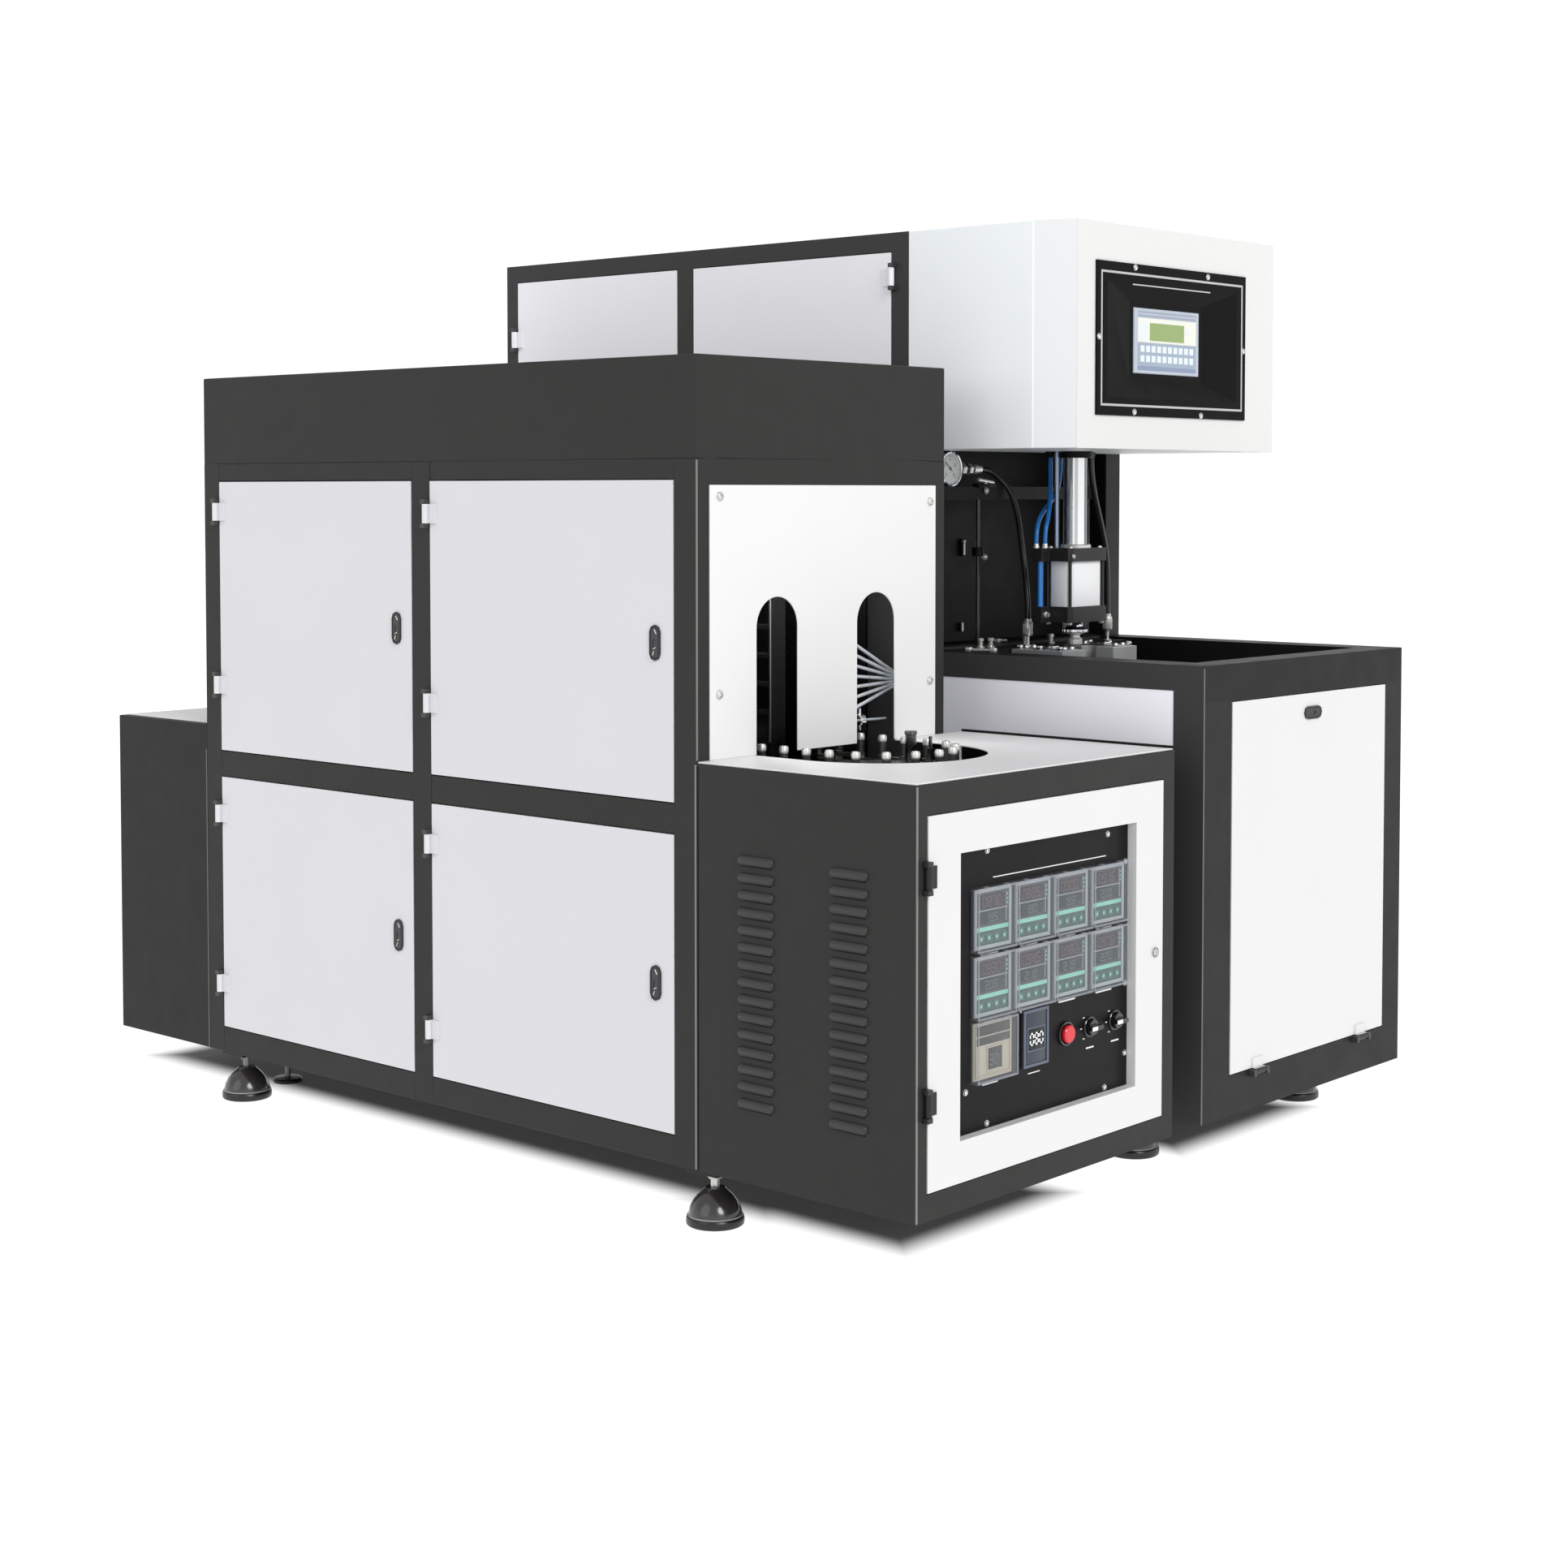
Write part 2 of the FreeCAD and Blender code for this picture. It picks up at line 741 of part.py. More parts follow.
def control_housing():
    """Louvred left side, plain right side with the lock's strike, and the two front rails."""
    top = deck_height - deck_sheet
    left = prism([Vector(0, 0, 0), Vector(control_stile_left, 0, 0),
                  Vector(control_stile_left, stile_return, 0),
                  Vector(control_stile_left - sheet, stile_return, 0),
                  Vector(control_stile_left - sheet, sheet, 0), Vector(sheet, sheet, 0),
                  Vector(sheet, oven_front, 0), Vector(0, oven_front, 0)],
                 Z * (top - frame_clearance))
    left.translate(Z * frame_clearance)
    louvres = [louvre(y, louvre_first_height + k * louvre_pitch)
               for y in (louvre_column_front, louvre_column_rear) for k in range(louvre_rows)]
    left = left.fuse(louvres)
    lip = control_width - control_stile_right
    strike = door_depth - door_proud + moving_gap
    right = prism([Vector(control_width, 0, 0), Vector(lip, 0, 0), Vector(lip, strike, 0),
                   Vector(lip + sheet, strike, 0), Vector(lip + sheet, sheet, 0),
                   Vector(control_width - sheet, sheet, 0),
                   Vector(control_width - sheet, oven_front, 0),
                   Vector(control_width, oven_front, 0)], Z * (top - frame_clearance))
    right.translate(Z * frame_clearance)
    top_rail_bar = square_tube(control_stile_left, 0, deck_height - control_rail_top, lip,
                               stile_return, top)
    bottom_rail_bar = square_tube(control_stile_left, 0, frame_clearance, lip, stile_return,
                                  frame_clearance + control_rail_bottom)
    return [left, right, top_rail_bar, bottom_rail_bar]


def control_deck():
    """The white deck plate, cut out round the chain's turn and back into both gateways."""
    low = deck_height - deck_sheet
    deck = block(deck_inset, deck_inset, low, control_width - deck_inset, oven_front, deck_height)
    turn = cylinder(Vector(lane_centre, turn_y, low), deck_hole_radius, deck_sheet)
    lanes = block(lane_centre - deck_hole_radius, turn_y, low, lane_centre + deck_hole_radius,
                  oven_front, deck_height)
    return deck.cut(turn.fuse(lanes))


# ---------------------------------------------------------------- control door
door_left = control_stile_left + door_gap
door_right = control_width - control_stile_right - door_gap
door_bottom = frame_clearance + control_rail_bottom + door_gap
door_top = deck_height - control_rail_top - door_gap
control_axis = Vector(door_left - knuckle_radius, -hinge_standoff, 0)
control_face = -door_proud


def control_door():
    """A folded ring with a deep reveal round its window, hung on its left edge."""
    back = control_face + door_depth
    door = block(door_left, control_face, door_bottom, door_right, back, door_top)
    reveal = window_reveal - control_face
    window = block(window_left, control_face, window_bottom, window_right, back, window_top)
    hollow = block(door_left + sheet, control_face + sheet, door_bottom + sheet,
                   door_right - sheet, back, door_top - sheet)
    collar = block(window_left - sheet, control_face, window_bottom - sheet,
                   window_right + sheet, control_face + reveal, window_top + sheet)
    door = door.cut(hollow.cut(collar)).cut(window)
    for height in control_hinge_heights:
        place = control_axis + Z * height
        hole = knuckle_hole(place - Z * knuckle_height, 2 * knuckle_height, Z,
                            place.z == control_hinge_heights[0])
        door = door.fuse(hinge_knuckle(place, X, -Y)).cut(hole)
    lock_hole = cylinder(Vector(lock_x, control_face, lock_height),
                         lock_barrel_radius + hinge_running_fit, sheet, Y)
    return door.cut(lock_hole)


def instrument_panel():
    """The black panel behind the window, with holes for the instruments and controls."""
    margin = sheet + 6
    panel = block(window_left - margin, instrument_face, window_bottom - margin,
                  window_right + margin, instrument_face + instrument_sheet, window_top + margin)
    holes = [block(x - half_width, instrument_face, z - half_height, x + half_width,
                   instrument_face + instrument_sheet, z + half_height)
             for x, z, half_width, half_height in body_places()]
    holes.append(cylinder(Vector(button_centre[0], instrument_face, button_centre[1]),
                          button_stem_radius + moving_gap, instrument_sheet, Y))
    holes += [cylinder(Vector(x, instrument_face, z), knob_shaft_radius + hinge_running_fit,
                       instrument_sheet, Y) for x, z in knob_centres]
    for hole in holes:
        panel = panel.cut(hole)
    return panel


def controller_places():
    return [(first_controller_x + k * controller_pitch, z)
            for z in controller_rows for k in range(4)]


def body_places():
    """Centre and half sizes of every hole that an instrument's body passes through."""
    places = [(x, z, controller_size / 2 - 3, controller_size / 2 - 3)
              for x, z in controller_places()]
    places.append((*timer_centre, timer_width / 2 - 8, timer_height / 2 - 8))
    places.append((*module_centre, module_width / 2 - 6, module_height / 2 - 6))
    return places


def instrument(x, z, width, height, body_width, body_height):
    """A panel instrument: a flange on the panel's face and its body behind."""
    face = block(x - width / 2, instrument_face - controller_face, z - height / 2,
                 x + width / 2, instrument_face, z + height / 2)
    body = block(x - body_width, instrument_face, z - body_height, x + body_width,
                 instrument_face + controller_depth, z + body_height)
    return face.fuse(body)


def panel_instruments():
    half = controller_size / 2 - 3
    solids = [instrument(x, z, controller_size, controller_size, half, half)
              for x, z in controller_places()]
    solids.append(instrument(*module_centre, module_width, module_height,
                             module_width / 2 - 6, module_height / 2 - 6))
    return solids


def counter_timer():
    return instrument(*timer_centre, timer_width, timer_height,
                      timer_width / 2 - 8, timer_height / 2 - 8)


def clear_cover(x, z, width, height):
    """A clear splash cover: a shallow open-backed box over an instrument's face."""
    reach = cover_margin + cover_wall
    outer = block(x - width / 2 - reach, cover_front, z - height / 2 - reach,
                  x + width / 2 + reach, instrument_face, z + height / 2 + reach)
    front = [edge for edge in outer.Edges if abs(edge.CenterOfMass.y - cover_front) < 1e-6]
    outer = outer.makeChamfer(2, front)
    inner = block(x - width / 2 - cover_margin, cover_front + 2 * cover_wall,
                  z - height / 2 - cover_margin, x + width / 2 + cover_margin, instrument_face,
                  z + height / 2 + cover_margin)
    return outer.cut(inner)


def instrument_covers():
    covers = [clear_cover(x, z, controller_size, controller_size)
              for x, z in controller_places()]
    covers.append(clear_cover(*timer_centre, timer_width, timer_height))
    return covers


def start_button():
    x, z = button_centre
    rest_gap = button_travel + moving_gap
    cap = rod(Vector(x, instrument_face - rest_gap - button_cap, z), button_radius, button_cap,
              Y, 20)
    front = [edge for edge in cap.Edges if abs(edge.CenterOfMass.y - cap.BoundBox.YMin) < 1e-6]
    cap = cap.makeChamfer(2, front)
    stem = rod(Vector(x, instrument_face - rest_gap, z), button_stem_radius,
               rest_gap + instrument_sheet + 12, Y)
    return cap.fuse(stem)


def selector_knob(x, z):
    """A round boss with a pointer lever, on a shaft through the panel."""
    back = instrument_face - moving_gap
    boss = rod(Vector(x, back - knob_depth, z), knob_radius, knob_depth, Y, 20)
    lever = slot(Vector(x, back - knob_depth, z), knob_lever_length, knob_lever_width / 2,
                 knob_lever_depth, X, -Y)
    shaft = cylinder(Vector(x, back, z), knob_shaft_radius, instrument_sheet + 10, Y)
    return boss.fuse([lever, shaft])


def door_lock():
    """The lock's round face and barrel, and the cam that hangs down when it is unlocked."""
    face = control_face - moving_gap
    head = rod(Vector(lock_x, face - 3, lock_height), lock_radius, 3, Y, 20)
    slit = block(lock_x - 1, face - 3, lock_height - 4, lock_x + 1, face - 1.5, lock_height + 4)
    cam_front = control_face + door_depth + 2 * moving_gap
    barrel = cylinder(Vector(lock_x, face, lock_height), lock_barrel_radius,
                      cam_front + lock_cam_thickness - face, Y)
    cam = slot(Vector(lock_x, cam_front, lock_height - lock_cam_length / 2 + lock_cam_width / 2),
               lock_cam_length, lock_cam_width / 2, lock_cam_thickness, Z, Y)
    return head.cut(slit).fuse([barrel, cam])


# ---------------------------------------------------------------- blowing unit
def blower_tubes():
    left, right = blower_left, blower_right
    tubes = []
    stiles = ((left, left + table_left_stile), (right - table_right_stile, right))
    for x0, x1 in stiles:
        tubes.append(square_tube(x0, 0, frame_clearance, x1, table_stile_depth, table_height))
    x0, x1 = stiles[0][1], stiles[1][0]
    tubes.append(square_tube(x0, 0, table_height - table_front_rail, x1, table_stile_depth,
                             table_height))
    tubes.append(square_tube(x0, 0, frame_clearance, x1, tube,
                             frame_clearance + table_bottom_rail))
    side_low = table_height - table_side_rail
    for x in (left, right - rim_width):
        tubes.append(square_tube(x, table_stile_depth, side_low, x + rim_width, cabinet_front,
                                 table_height))
    for x in (left, right - tube):
        tubes.append(square_tube(x, table_stile_depth, frame_clearance, x + tube, cabinet_front,
                                 base_top))
    posts = ((cabinet_front, cabinet_front + cabinet_front_post),
             (cabinet_mid_front, cabinet_mid_front + cabinet_mid_post),
             (cabinet_rear_front, cabinet_back))
    levels = ((frame_clearance, base_top), (side_low, table_height),
              (cabinet_height - cabinet_top_rail, cabinet_height))
    for x in (left, right - tube):
        for y0, y1 in posts:
            tubes.append(square_tube(x, y0, frame_clearance, x + tube, y1, cabinet_height))
        for low, high in levels:
            for before, after in zip(posts, posts[1:]):
                tubes.append(square_tube(x, before[1], low, x + tube, after[0], high))
    for low, high in levels:
        for y0, y1 in (posts[0], posts[-1]):
            tubes.append(square_tube(left + tube, y0, low, right - tube, y1, high))
    for y in (foot_rail_front, foot_rail_rear):
        tubes.append(square_tube(left + tube, y, frame_clearance, right - tube, y + tube, base_top))
    return tubes


def blower_sheets():
    """Black sheets: the well's lining, the wall behind the station, bridge, beam and top."""
    left, right = blower_left + rim_width, blower_right - rim_width
    side_low = table_height - table_side_rail
    front_low = table_height - table_front_rail
    well = [block(left - well_sheet, table_stile_depth, well_floor, left, cabinet_front, side_low),
            block(right, table_stile_depth, well_floor, right + well_sheet, cabinet_front,
                  side_low),
            block(left, table_stile_depth - well_sheet, well_floor, right, table_stile_depth,
                  front_low),
            block(left, cabinet_front, well_floor, right, cabinet_front + well_sheet, side_low),
            block(left - well_sheet, table_stile_depth - well_sheet, well_floor - well_sheet,
                  right + well_sheet, cabinet_front + well_sheet, well_floor)]
    inner_left, inner_right = blower_left + tube, blower_right - tube
    wall = block(inner_left, inner_wall_y, table_height, inner_right, inner_wall_y + sheet,
                 cabinet_height - cabinet_top_rail)
    wall_ties = [block(x, cabinet_front + cabinet_front_post / 2, low, x + tube, inner_wall_y,
                       high)
                 for x in (inner_left, inner_right - tube)
                 for low, high in ((table_height, table_height + sheet),
                                   (cabinet_height - cabinet_top_rail - sheet,
                                    cabinet_height - cabinet_top_rail))]
    bridge = block(left, bridge_front, mould_top - bridge_sheet, right, cabinet_front, mould_top)
    beam = block(inner_left, cabinet_front + cabinet_front_post - beam_depth, beam_underside,
                 inner_right, cabinet_front + cabinet_front_post, beam_underside + beam_height)
    top = block(inner_left, cabinet_front + cabinet_front_post, cabinet_height - sheet,
                inner_right, cabinet_rear_front, cabinet_height)
    return well + [wall, bridge, beam, top] + wall_ties


def blower_fixed_panels():
    left = blower_left + panel_inset
    right = blower_right - panel_inset
    side_low = table_height - table_side_rail
    top_low = cabinet_height - cabinet_top_rail
    bays = ((cabinet_front + cabinet_front_post, cabinet_mid_front),
            (cabinet_mid_front + cabinet_mid_post, cabinet_rear_front))
    panels = []
    for start, end in ((table_stile_depth, cabinet_front),) + bays:
        panels.append(block(left, start, base_top, left + panel_sheet, end, side_low))
        panels.append(block(right - panel_sheet, start, base_top, right, end, side_low))
    for start, end in bays:
        panels.append(block(right - panel_sheet, start, table_height, right, end, top_low))
    back = cabinet_back - panel_inset
    for low, high in ((base_top, side_low), (table_height, top_low)):
        panels.append(block(blower_left + tube, back - panel_sheet, low, blower_right - tube,
                            back, high))
    return panels


def head_plan(inset):
    """The head's plan: a box with a narrow facet on its front left corner."""
    left, right = blower_left + inset, blower_right - inset
    front = head_front + inset
    return [Vector(left, cabinet_front, 0), Vector(left, head_front + facet_depth, 0),
            Vector(blower_left + facet_width + inset, front, 0), Vector(right, front, 0),
            Vector(right, cabinet_front, 0)]


def head_housing():
    outer = prism([p + Z * head_bottom for p in head_plan(0)], Z * head_height)
    inner = prism([p + Z * (head_bottom + sheet) for p in head_plan(sheet)],
                  Z * (head_height - 2 * sheet))
    opening = block(hmi_left + hmi_lip, head_front, hmi_bottom + hmi_lip, hmi_right - hmi_lip,
                    head_front + sheet, hmi_top - hmi_lip)
    return outer.cut(inner).cut(opening)


def hmi_bezel():
    """A moulded bezel, dished in from its rim to the pocket that the screen sits in."""
    front = head_front - hmi_flange
    flange = block(hmi_left, front, hmi_bottom, hmi_right, head_front, hmi_top)
    body = block(hmi_left + hmi_lip, head_front, hmi_bottom + hmi_lip, hmi_right - hmi_lip,
                 front + hmi_dish + hmi_back, hmi_top - hmi_lip)
    margin = screen_proud * 4

    def outline(x0, z0, x1, z1, y):
        return [Vector(x0, y, z0), Vector(x1, y, z0), Vector(x1, y, z1), Vector(x0, y, z1)]
    wide = outline(hmi_left + hmi_rim, hmi_bottom + hmi_rim, hmi_right - hmi_rim,
                   hmi_top - hmi_rim, front)
    narrow = outline(screen_left - margin, screen_bottom - margin, screen_right + margin,
                     screen_top + margin, front + hmi_dish)
    dish = banded([wide, narrow])
    pocket = block(screen_left, front + hmi_dish, screen_bottom, screen_right,
                   front + hmi_dish + screen_depth - screen_proud, screen_top)
    return flange.fuse(body).cut(dish).cut(pocket)


def touch_screen():
    back = head_front - hmi_flange + hmi_dish + screen_depth - screen_proud
    screen = block(screen_left, back - screen_depth, screen_bottom, screen_right, back, screen_top)
    face = [edge for edge in screen.Edges
            if abs(edge.CenterOfMass.y - (back - screen_depth)) < 1e-6]
    return screen.makeChamfer(1.5, face)


# ---------------------------------------------------------------- blow station
def station(z, dx=0, dy=0):
    return Vector(station_x + dx, station_y + dy, z)


lug_x = -(flange_width + lug_side) / 2
lug_y = flange_depth / 2 - lug_side / 4
guide_rod_offset = Vector(-30, 24, 0)


def corner_cut_plate(width, depth, low, high, corner):
    plate = block(station_x - width / 2, station_y - depth / 2, low, station_x + width / 2,
                  station_y + depth / 2, high)
    return plate.makeChamfer(corner, [edge for edge in plate.Edges
                                      if abs(edge.tangentAt(0).z) > 0.9])


def side_lug(low, high):
    half = lug_side / 2
    centre = station(low, lug_x, lug_y)
    return block(centre.x - half, centre.y - half, low, centre.x + half, centre.y + half, high)


def cylinder_flanges():
    """The cylinder's black end caps, each with a lug for the air tube, and the tie rods."""
    upper = corner_cut_plate(flange_width, flange_depth, cylinder_top, upper_flange_top, 8)
    lower = corner_cut_plate(flange_width, flange_depth, lower_flange_bottom, lower_flange_top, 8)
    lower = lower.cut(cylinder(station(lower_flange_bottom), nozzle_rod_radius + moving_gap,
                               lower_flange))
    tie_x, tie_y = barrel_width / 2 - 1, barrel_depth / 2 - 1
    ties = [rod(station(lower_flange_top, sx * tie_x, sy * tie_y), 3.5, barrel_length)
            for sx in (-1, 1) for sy in (-1, 1)]
    upper = upper.fuse(side_lug(cylinder_top, upper_flange_top))
    lower = lower.fuse(side_lug(lower_flange_bottom, lower_flange_top))
    return [upper.fuse(ties).fuse(lower).removeSplitter()]


def cylinder_body():
    barrel = corner_cut_plate(barrel_width, barrel_depth, lower_flange_top, cylinder_top, 10)
    bore = cylinder(station(lower_flange_top), nozzle_rod_radius + moving_gap,
                    barrel_length - 2 * sheet)
    return barrel.cut(bore)


def blow_column():
    """The chrome column and guide rod up to the head, and the rod up the back to the beam."""
    rise = head_bottom - upper_flange_top
    column = cylinder(station(upper_flange_top), column_radius, rise)
    guide = rod(station(upper_flange_top) + guide_rod_offset, guide_rod_radius, rise)
    wall_rod = rod(Vector(station_x - wall_rod_offset, cabinet_front + tube / 2, table_height),
                   wall_rod_radius, beam_underside - table_height, sides=8)
    return [column, guide, wall_rod]


def blow_nozzle():
    """A turned nozzle with its collar, on the rod that slides in the cylinder."""
    tip = nozzle_tip_height
    collar = mould_top + nozzle_travel + nozzle_seat_gap
    collar_top = collar + nozzle_collar_height
    top = lower_flange_bottom - moving_gap
    rod_top = cylinder_top - 2 * sheet - 1
    sides = 16
    shaft = rod(station(collar), nozzle_rod_radius, rod_top - collar, sides=sides)
    sleeve = rod(station(collar_top), nozzle_rod_radius + 3, top - collar_top, sides=sides)
    head = stacked([(nozzle_radius - 3, tip), (nozzle_radius, tip + 5),
                    (nozzle_radius, collar - 13), (nozzle_rod_radius, collar - 9),
                    (nozzle_rod_radius, collar - 4), (nozzle_collar_radius, collar),
                    (nozzle_collar_radius, collar_top)], station(0), sides)
    return head.fuse([shaft, sleeve])


def air_tube():
    return rod(station(lower_flange_top, lug_x, lug_y), air_tube_radius, barrel_length)


def pressure_gauge():
    """A round case facing the front, on a block that stands on the beam."""
    back = cabinet_front + cabinet_front_post - beam_depth
    centre_z = beam_underside + beam_height + gauge_radius
    place = Vector(gauge_x, back - gauge_depth + beam_depth, centre_z)
    case = rod(place, gauge_radius, gauge_depth, Y, 32)
    ring = rod(place, gauge_radius - 4, 3, Y, 32)
    stem = block(gauge_x - 11, back, beam_underside + beam_height, gauge_x + 11,
                 back + beam_depth, centre_z)
    pipe = rod(Vector(gauge_x + gauge_radius / 2, back + beam_depth / 2, centre_z), 8,
               black_hose_route[0][0] - gauge_x - gauge_radius / 2, X)
    return case.cut(ring).fuse([stem, pipe])


def clamp_rails():
    half = rail_width / 2
    left, right = blower_left + rim_width + tube, blower_right - rim_width - tube
    return [block(left, station_y + side * rail_spacing / 2 - half, well_floor, right,
                  station_y + side * rail_spacing / 2 + half, well_floor + rail_height)
            for side in (-1, 1)]


def mould_half(side):
    """A mould block with half a bottle cavity, bolted to its platen; side is -1 or 1."""
    low = well_floor + rail_height + moving_gap
    face = station_x + side * mould_open
    back = face + side * mould_depth
    half = mould_width / 2
    x_span = sorted((face, back))
    mould = block(x_span[0], station_y - half, low, x_span[1], station_y + half, mould_top)
    far = sorted((back, back + side * platen_thickness))
    platen = block(far[0], station_y - half - platen_margin, low, far[1],
                   station_y + half + platen_margin, mould_top)
    top = mould_top
    shoulder = top - neck_height - shoulder_height
    cavity = stacked([(neck_radius, top), (neck_radius, top - neck_height),
                      (bottle_radius, shoulder), (bottle_radius, top - bottle_height)],
                     Vector(face, station_y, 0), 20)
    return mould.fuse(platen).removeSplitter().cut(cavity)


# ---------------------------------------------------------------- hoses
# Routes in layout coordinates; the first and last points are in the fittings' mouths.
black_hose_route = [(1050, 700.5, 1261.5), (1086, 700.5, 1261.5), (1116, 695, 1247),
                    (1137, 678, 1221), (1144, 666, 1178), (1136, 649, 1120), (1124, 630, 1052),
                    (1110, 612, 993), (1110, 612, 955)]
return_hose_route = [(1298, 592, 1296), (1298, 592, 1258), (1318, 596, 1203), (1350, 602, 1147),
                     (1378, 608, 1086), (1389, 612, 1020), (1389, 612, 955)]
blue_hose_route = [(1178, 582, 1296), (1178, 582, 1250), (1162, 582, 1208), (1106, 578, 1172),
                   (1074, 566, 1143), (1074, 566, 1112)]
blue_return_route = [(1140, 580, 1296), (1140, 580, 1260), (1128, 571, 1206), (1102, 557, 1164),
                     (1087, 554, 1140), (1087, 554, 1112)]


def hose(route, diameter, name):
    """A tube of straight runs joined by arcs as large as the runs allow."""
    points = [Vector(*place) for place in route]
    edges = []
    start = points[0]
    radii = []
    for before, corner, after in zip(points, points[1:], points[2:]):
        inward = (before - corner).normalize()
        outward = (after - corner).normalize()
        turn = math.pi - inward.getAngle(outward)
        run = 0.45 * min(before.distanceToPoint(corner), corner.distanceToPoint(after))
        radius = run / math.tan(turn / 2)
        radii.append(round(radius))
        leave = corner + inward * run
        arrive = corner + outward * run
        bisector = (inward + outward).normalize()
        centre_distance = math.hypot(radius, run)
        middle = corner + bisector * (centre_distance - radius)
        edges.append(Part.LineSegment(start, leave).toShape())
        edges.append(Part.Arc(leave, middle, arrive).toShape())
        start = arrive
    edges.append(Part.LineSegment(start, points[-1]).toShape())
    path = Part.Wire(edges)
    section = math.pi * diameter ** 2 / 4
    reach = math.sqrt(section / (hose_sides / 2 * math.sin(2 * math.pi / hose_sides)))
    stops = path.discretize(Number=len(route) * 2 + 1)
    side = Y
    rings = []
    for k, stop in enumerate(stops):
        along = (stops[min(k + 1, len(stops) - 1)] - stops[max(k - 1, 0)]).normalize()
        side = (side - along * side.dot(along)).normalize()
        rings.append(round_points(stop, side, along.cross(side), reach, steps=hose_sides))
    tube_solid = banded(rings)
    print(name, "radii", radii, "length", round(path.Length),
          "volume ratio", round(tube_solid.Volume / (section * path.Length), 4))
    return tube_solid


def upright_fitting(route, base):
    """A hose tail and hexagon standing on a surface, with its mouth at the hose's end."""
    x, y, top = route[-1]
    nut = prism([Vector(x, y, base) + Vector(math.cos(a), math.sin(a), 0) * (fitting_radius + 2)
                 for a in (math.radians(60 * k) for k in range(6))], Z * (top - base) * 0.4)
    tail = rod(Vector(x, y, base), fitting_radius, top - base)
    return nut.fuse(tail)


def air_fittings():
    """The fittings at the ends of the hoses."""
    fittings = [upright_fitting(black_hose_route, mould_top),
                upright_fitting(return_hose_route, mould_top)]
    for route in (blue_hose_route, blue_return_route):
        x, y, top = route[-1]
        fittings.append(rod(Vector(x, y, upper_flange_top), blue_hose / 2 + 1,
                            top - upper_flange_top))
    return fittings


# ---------------------------------------------------------------- feet
heater_feet = [(oven_x, foot_y) for oven_x in (heater_foot_inset, oven_width - heater_foot_inset)
               for foot_y in (oven_front - 5, rear_post_front - 21)]
blower_feet = [(foot_x, foot_y + tube / 2)
               for foot_x in (blower_left + blower_foot_inset, blower_right - blower_foot_inset)
               for foot_y in (foot_rail_front, foot_rail_rear)]
small_foot_place = (172, rear_post_front + tube / 2)


def foot_pad(x, y):
    """A bell-shaped rubber pad, flat underneath."""
    return stacked([(pad_radius * 0.94, 0), (pad_radius, pad_edge),
                    (pad_radius * 0.9, pad_height * 0.42), (pad_radius * 0.6, pad_height * 0.8),
                    (pad_radius * 0.36, pad_height)], Vector(x, y, 0), 14)


def foot_stem(x, y):
    """A levelling screw with its nut and the plate that it is screwed into."""
    stem = rod(Vector(x, y, pad_height), stem_radius, frame_clearance - pad_height, sides=8)
    nut_top = frame_clearance - foot_plate_thickness
    nut = prism([Vector(x + nut_size / 2 * math.cos(a), y + nut_size / 2 * math.sin(a),
                        nut_top - nut_height) for a in (math.radians(60 * k) for k in range(6))],
                Z * nut_height)
    half = foot_plate / 2
    plate = block(x - half, y - half, nut_top, x + half, y + half, frame_clearance)
    return stem.fuse([nut, plate])


def small_foot():
    x, y = small_foot_place
    disc = rod(Vector(x, y, 0), small_foot_radius, small_foot_height, sides=20)
    stem = rod(Vector(x, y, small_foot_height), small_stem_radius,
               frame_clearance - small_foot_height)
    return disc, stem


# ---------------------------------------------------------------- doors by name
upper_bottom = mid_rail_top + door_gap
upper_top = top_rail_height - door_gap
lower_bottom = base_top + door_gap
lower_top = mid_rail_height - door_gap
front_edges = (mid_post_front - door_gap, oven_front + tube + door_gap)
rear_edges = (rear_post_front - door_gap, mid_post_front + tube + door_gap)
oven_doors = {
    "upper_front": (*front_edges, upper_bottom, upper_top, (832, 1176), 965),
    "lower_front": (*front_edges, lower_bottom, lower_top, (234, 575), 396),
    "upper_rear": (*rear_edges, upper_bottom, upper_top, (832, 1176), 965),
    "lower_rear": (*rear_edges, lower_bottom, lower_top, (234, 575), 396),
}
cabinet_low = table_height + door_gap
cabinet_high = cabinet_height - cabinet_top_rail - door_gap
cabinet_doors = {
    "front": (cabinet_front + cabinet_front_post + door_gap, cabinet_mid_front - door_gap,
              cabinet_low, cabinet_high,
              (cabinet_low + cabinet_hinge_rise, cabinet_high - cabinet_hinge_drop)),
    "rear": (cabinet_rear_front - door_gap, cabinet_mid_front + cabinet_mid_post + door_gap,
             cabinet_low, cabinet_high,
             (cabinet_low + cabinet_hinge_rise, cabinet_high - cabinet_hinge_drop - 78)),
}


def latch_centre(hinge_edge, free_edge, height):
    inward = 1 if hinge_edge > free_edge else -1
    return Vector(-door_proud, free_edge + inward * latch_inset, height)


# the tilting panel in the table's front
table_panel_left = blower_left + table_left_stile + door_gap
table_panel_right = blower_right - table_right_stile - door_gap
table_panel_bottom = frame_clearance + table_bottom_rail + door_gap
table_panel_top = table_height - table_front_rail - door_gap
table_face = -door_proud
table_latch_centre = Vector((table_panel_left + table_panel_right) / 2, table_face,
                            table_panel_top - table_latch_drop)
table_axis = Vector(0, -hinge_standoff, table_panel_bottom - knuckle_radius)
table_hinge_places = (table_panel_left + table_hinge_inset,
                      table_panel_right - table_hinge_inset)


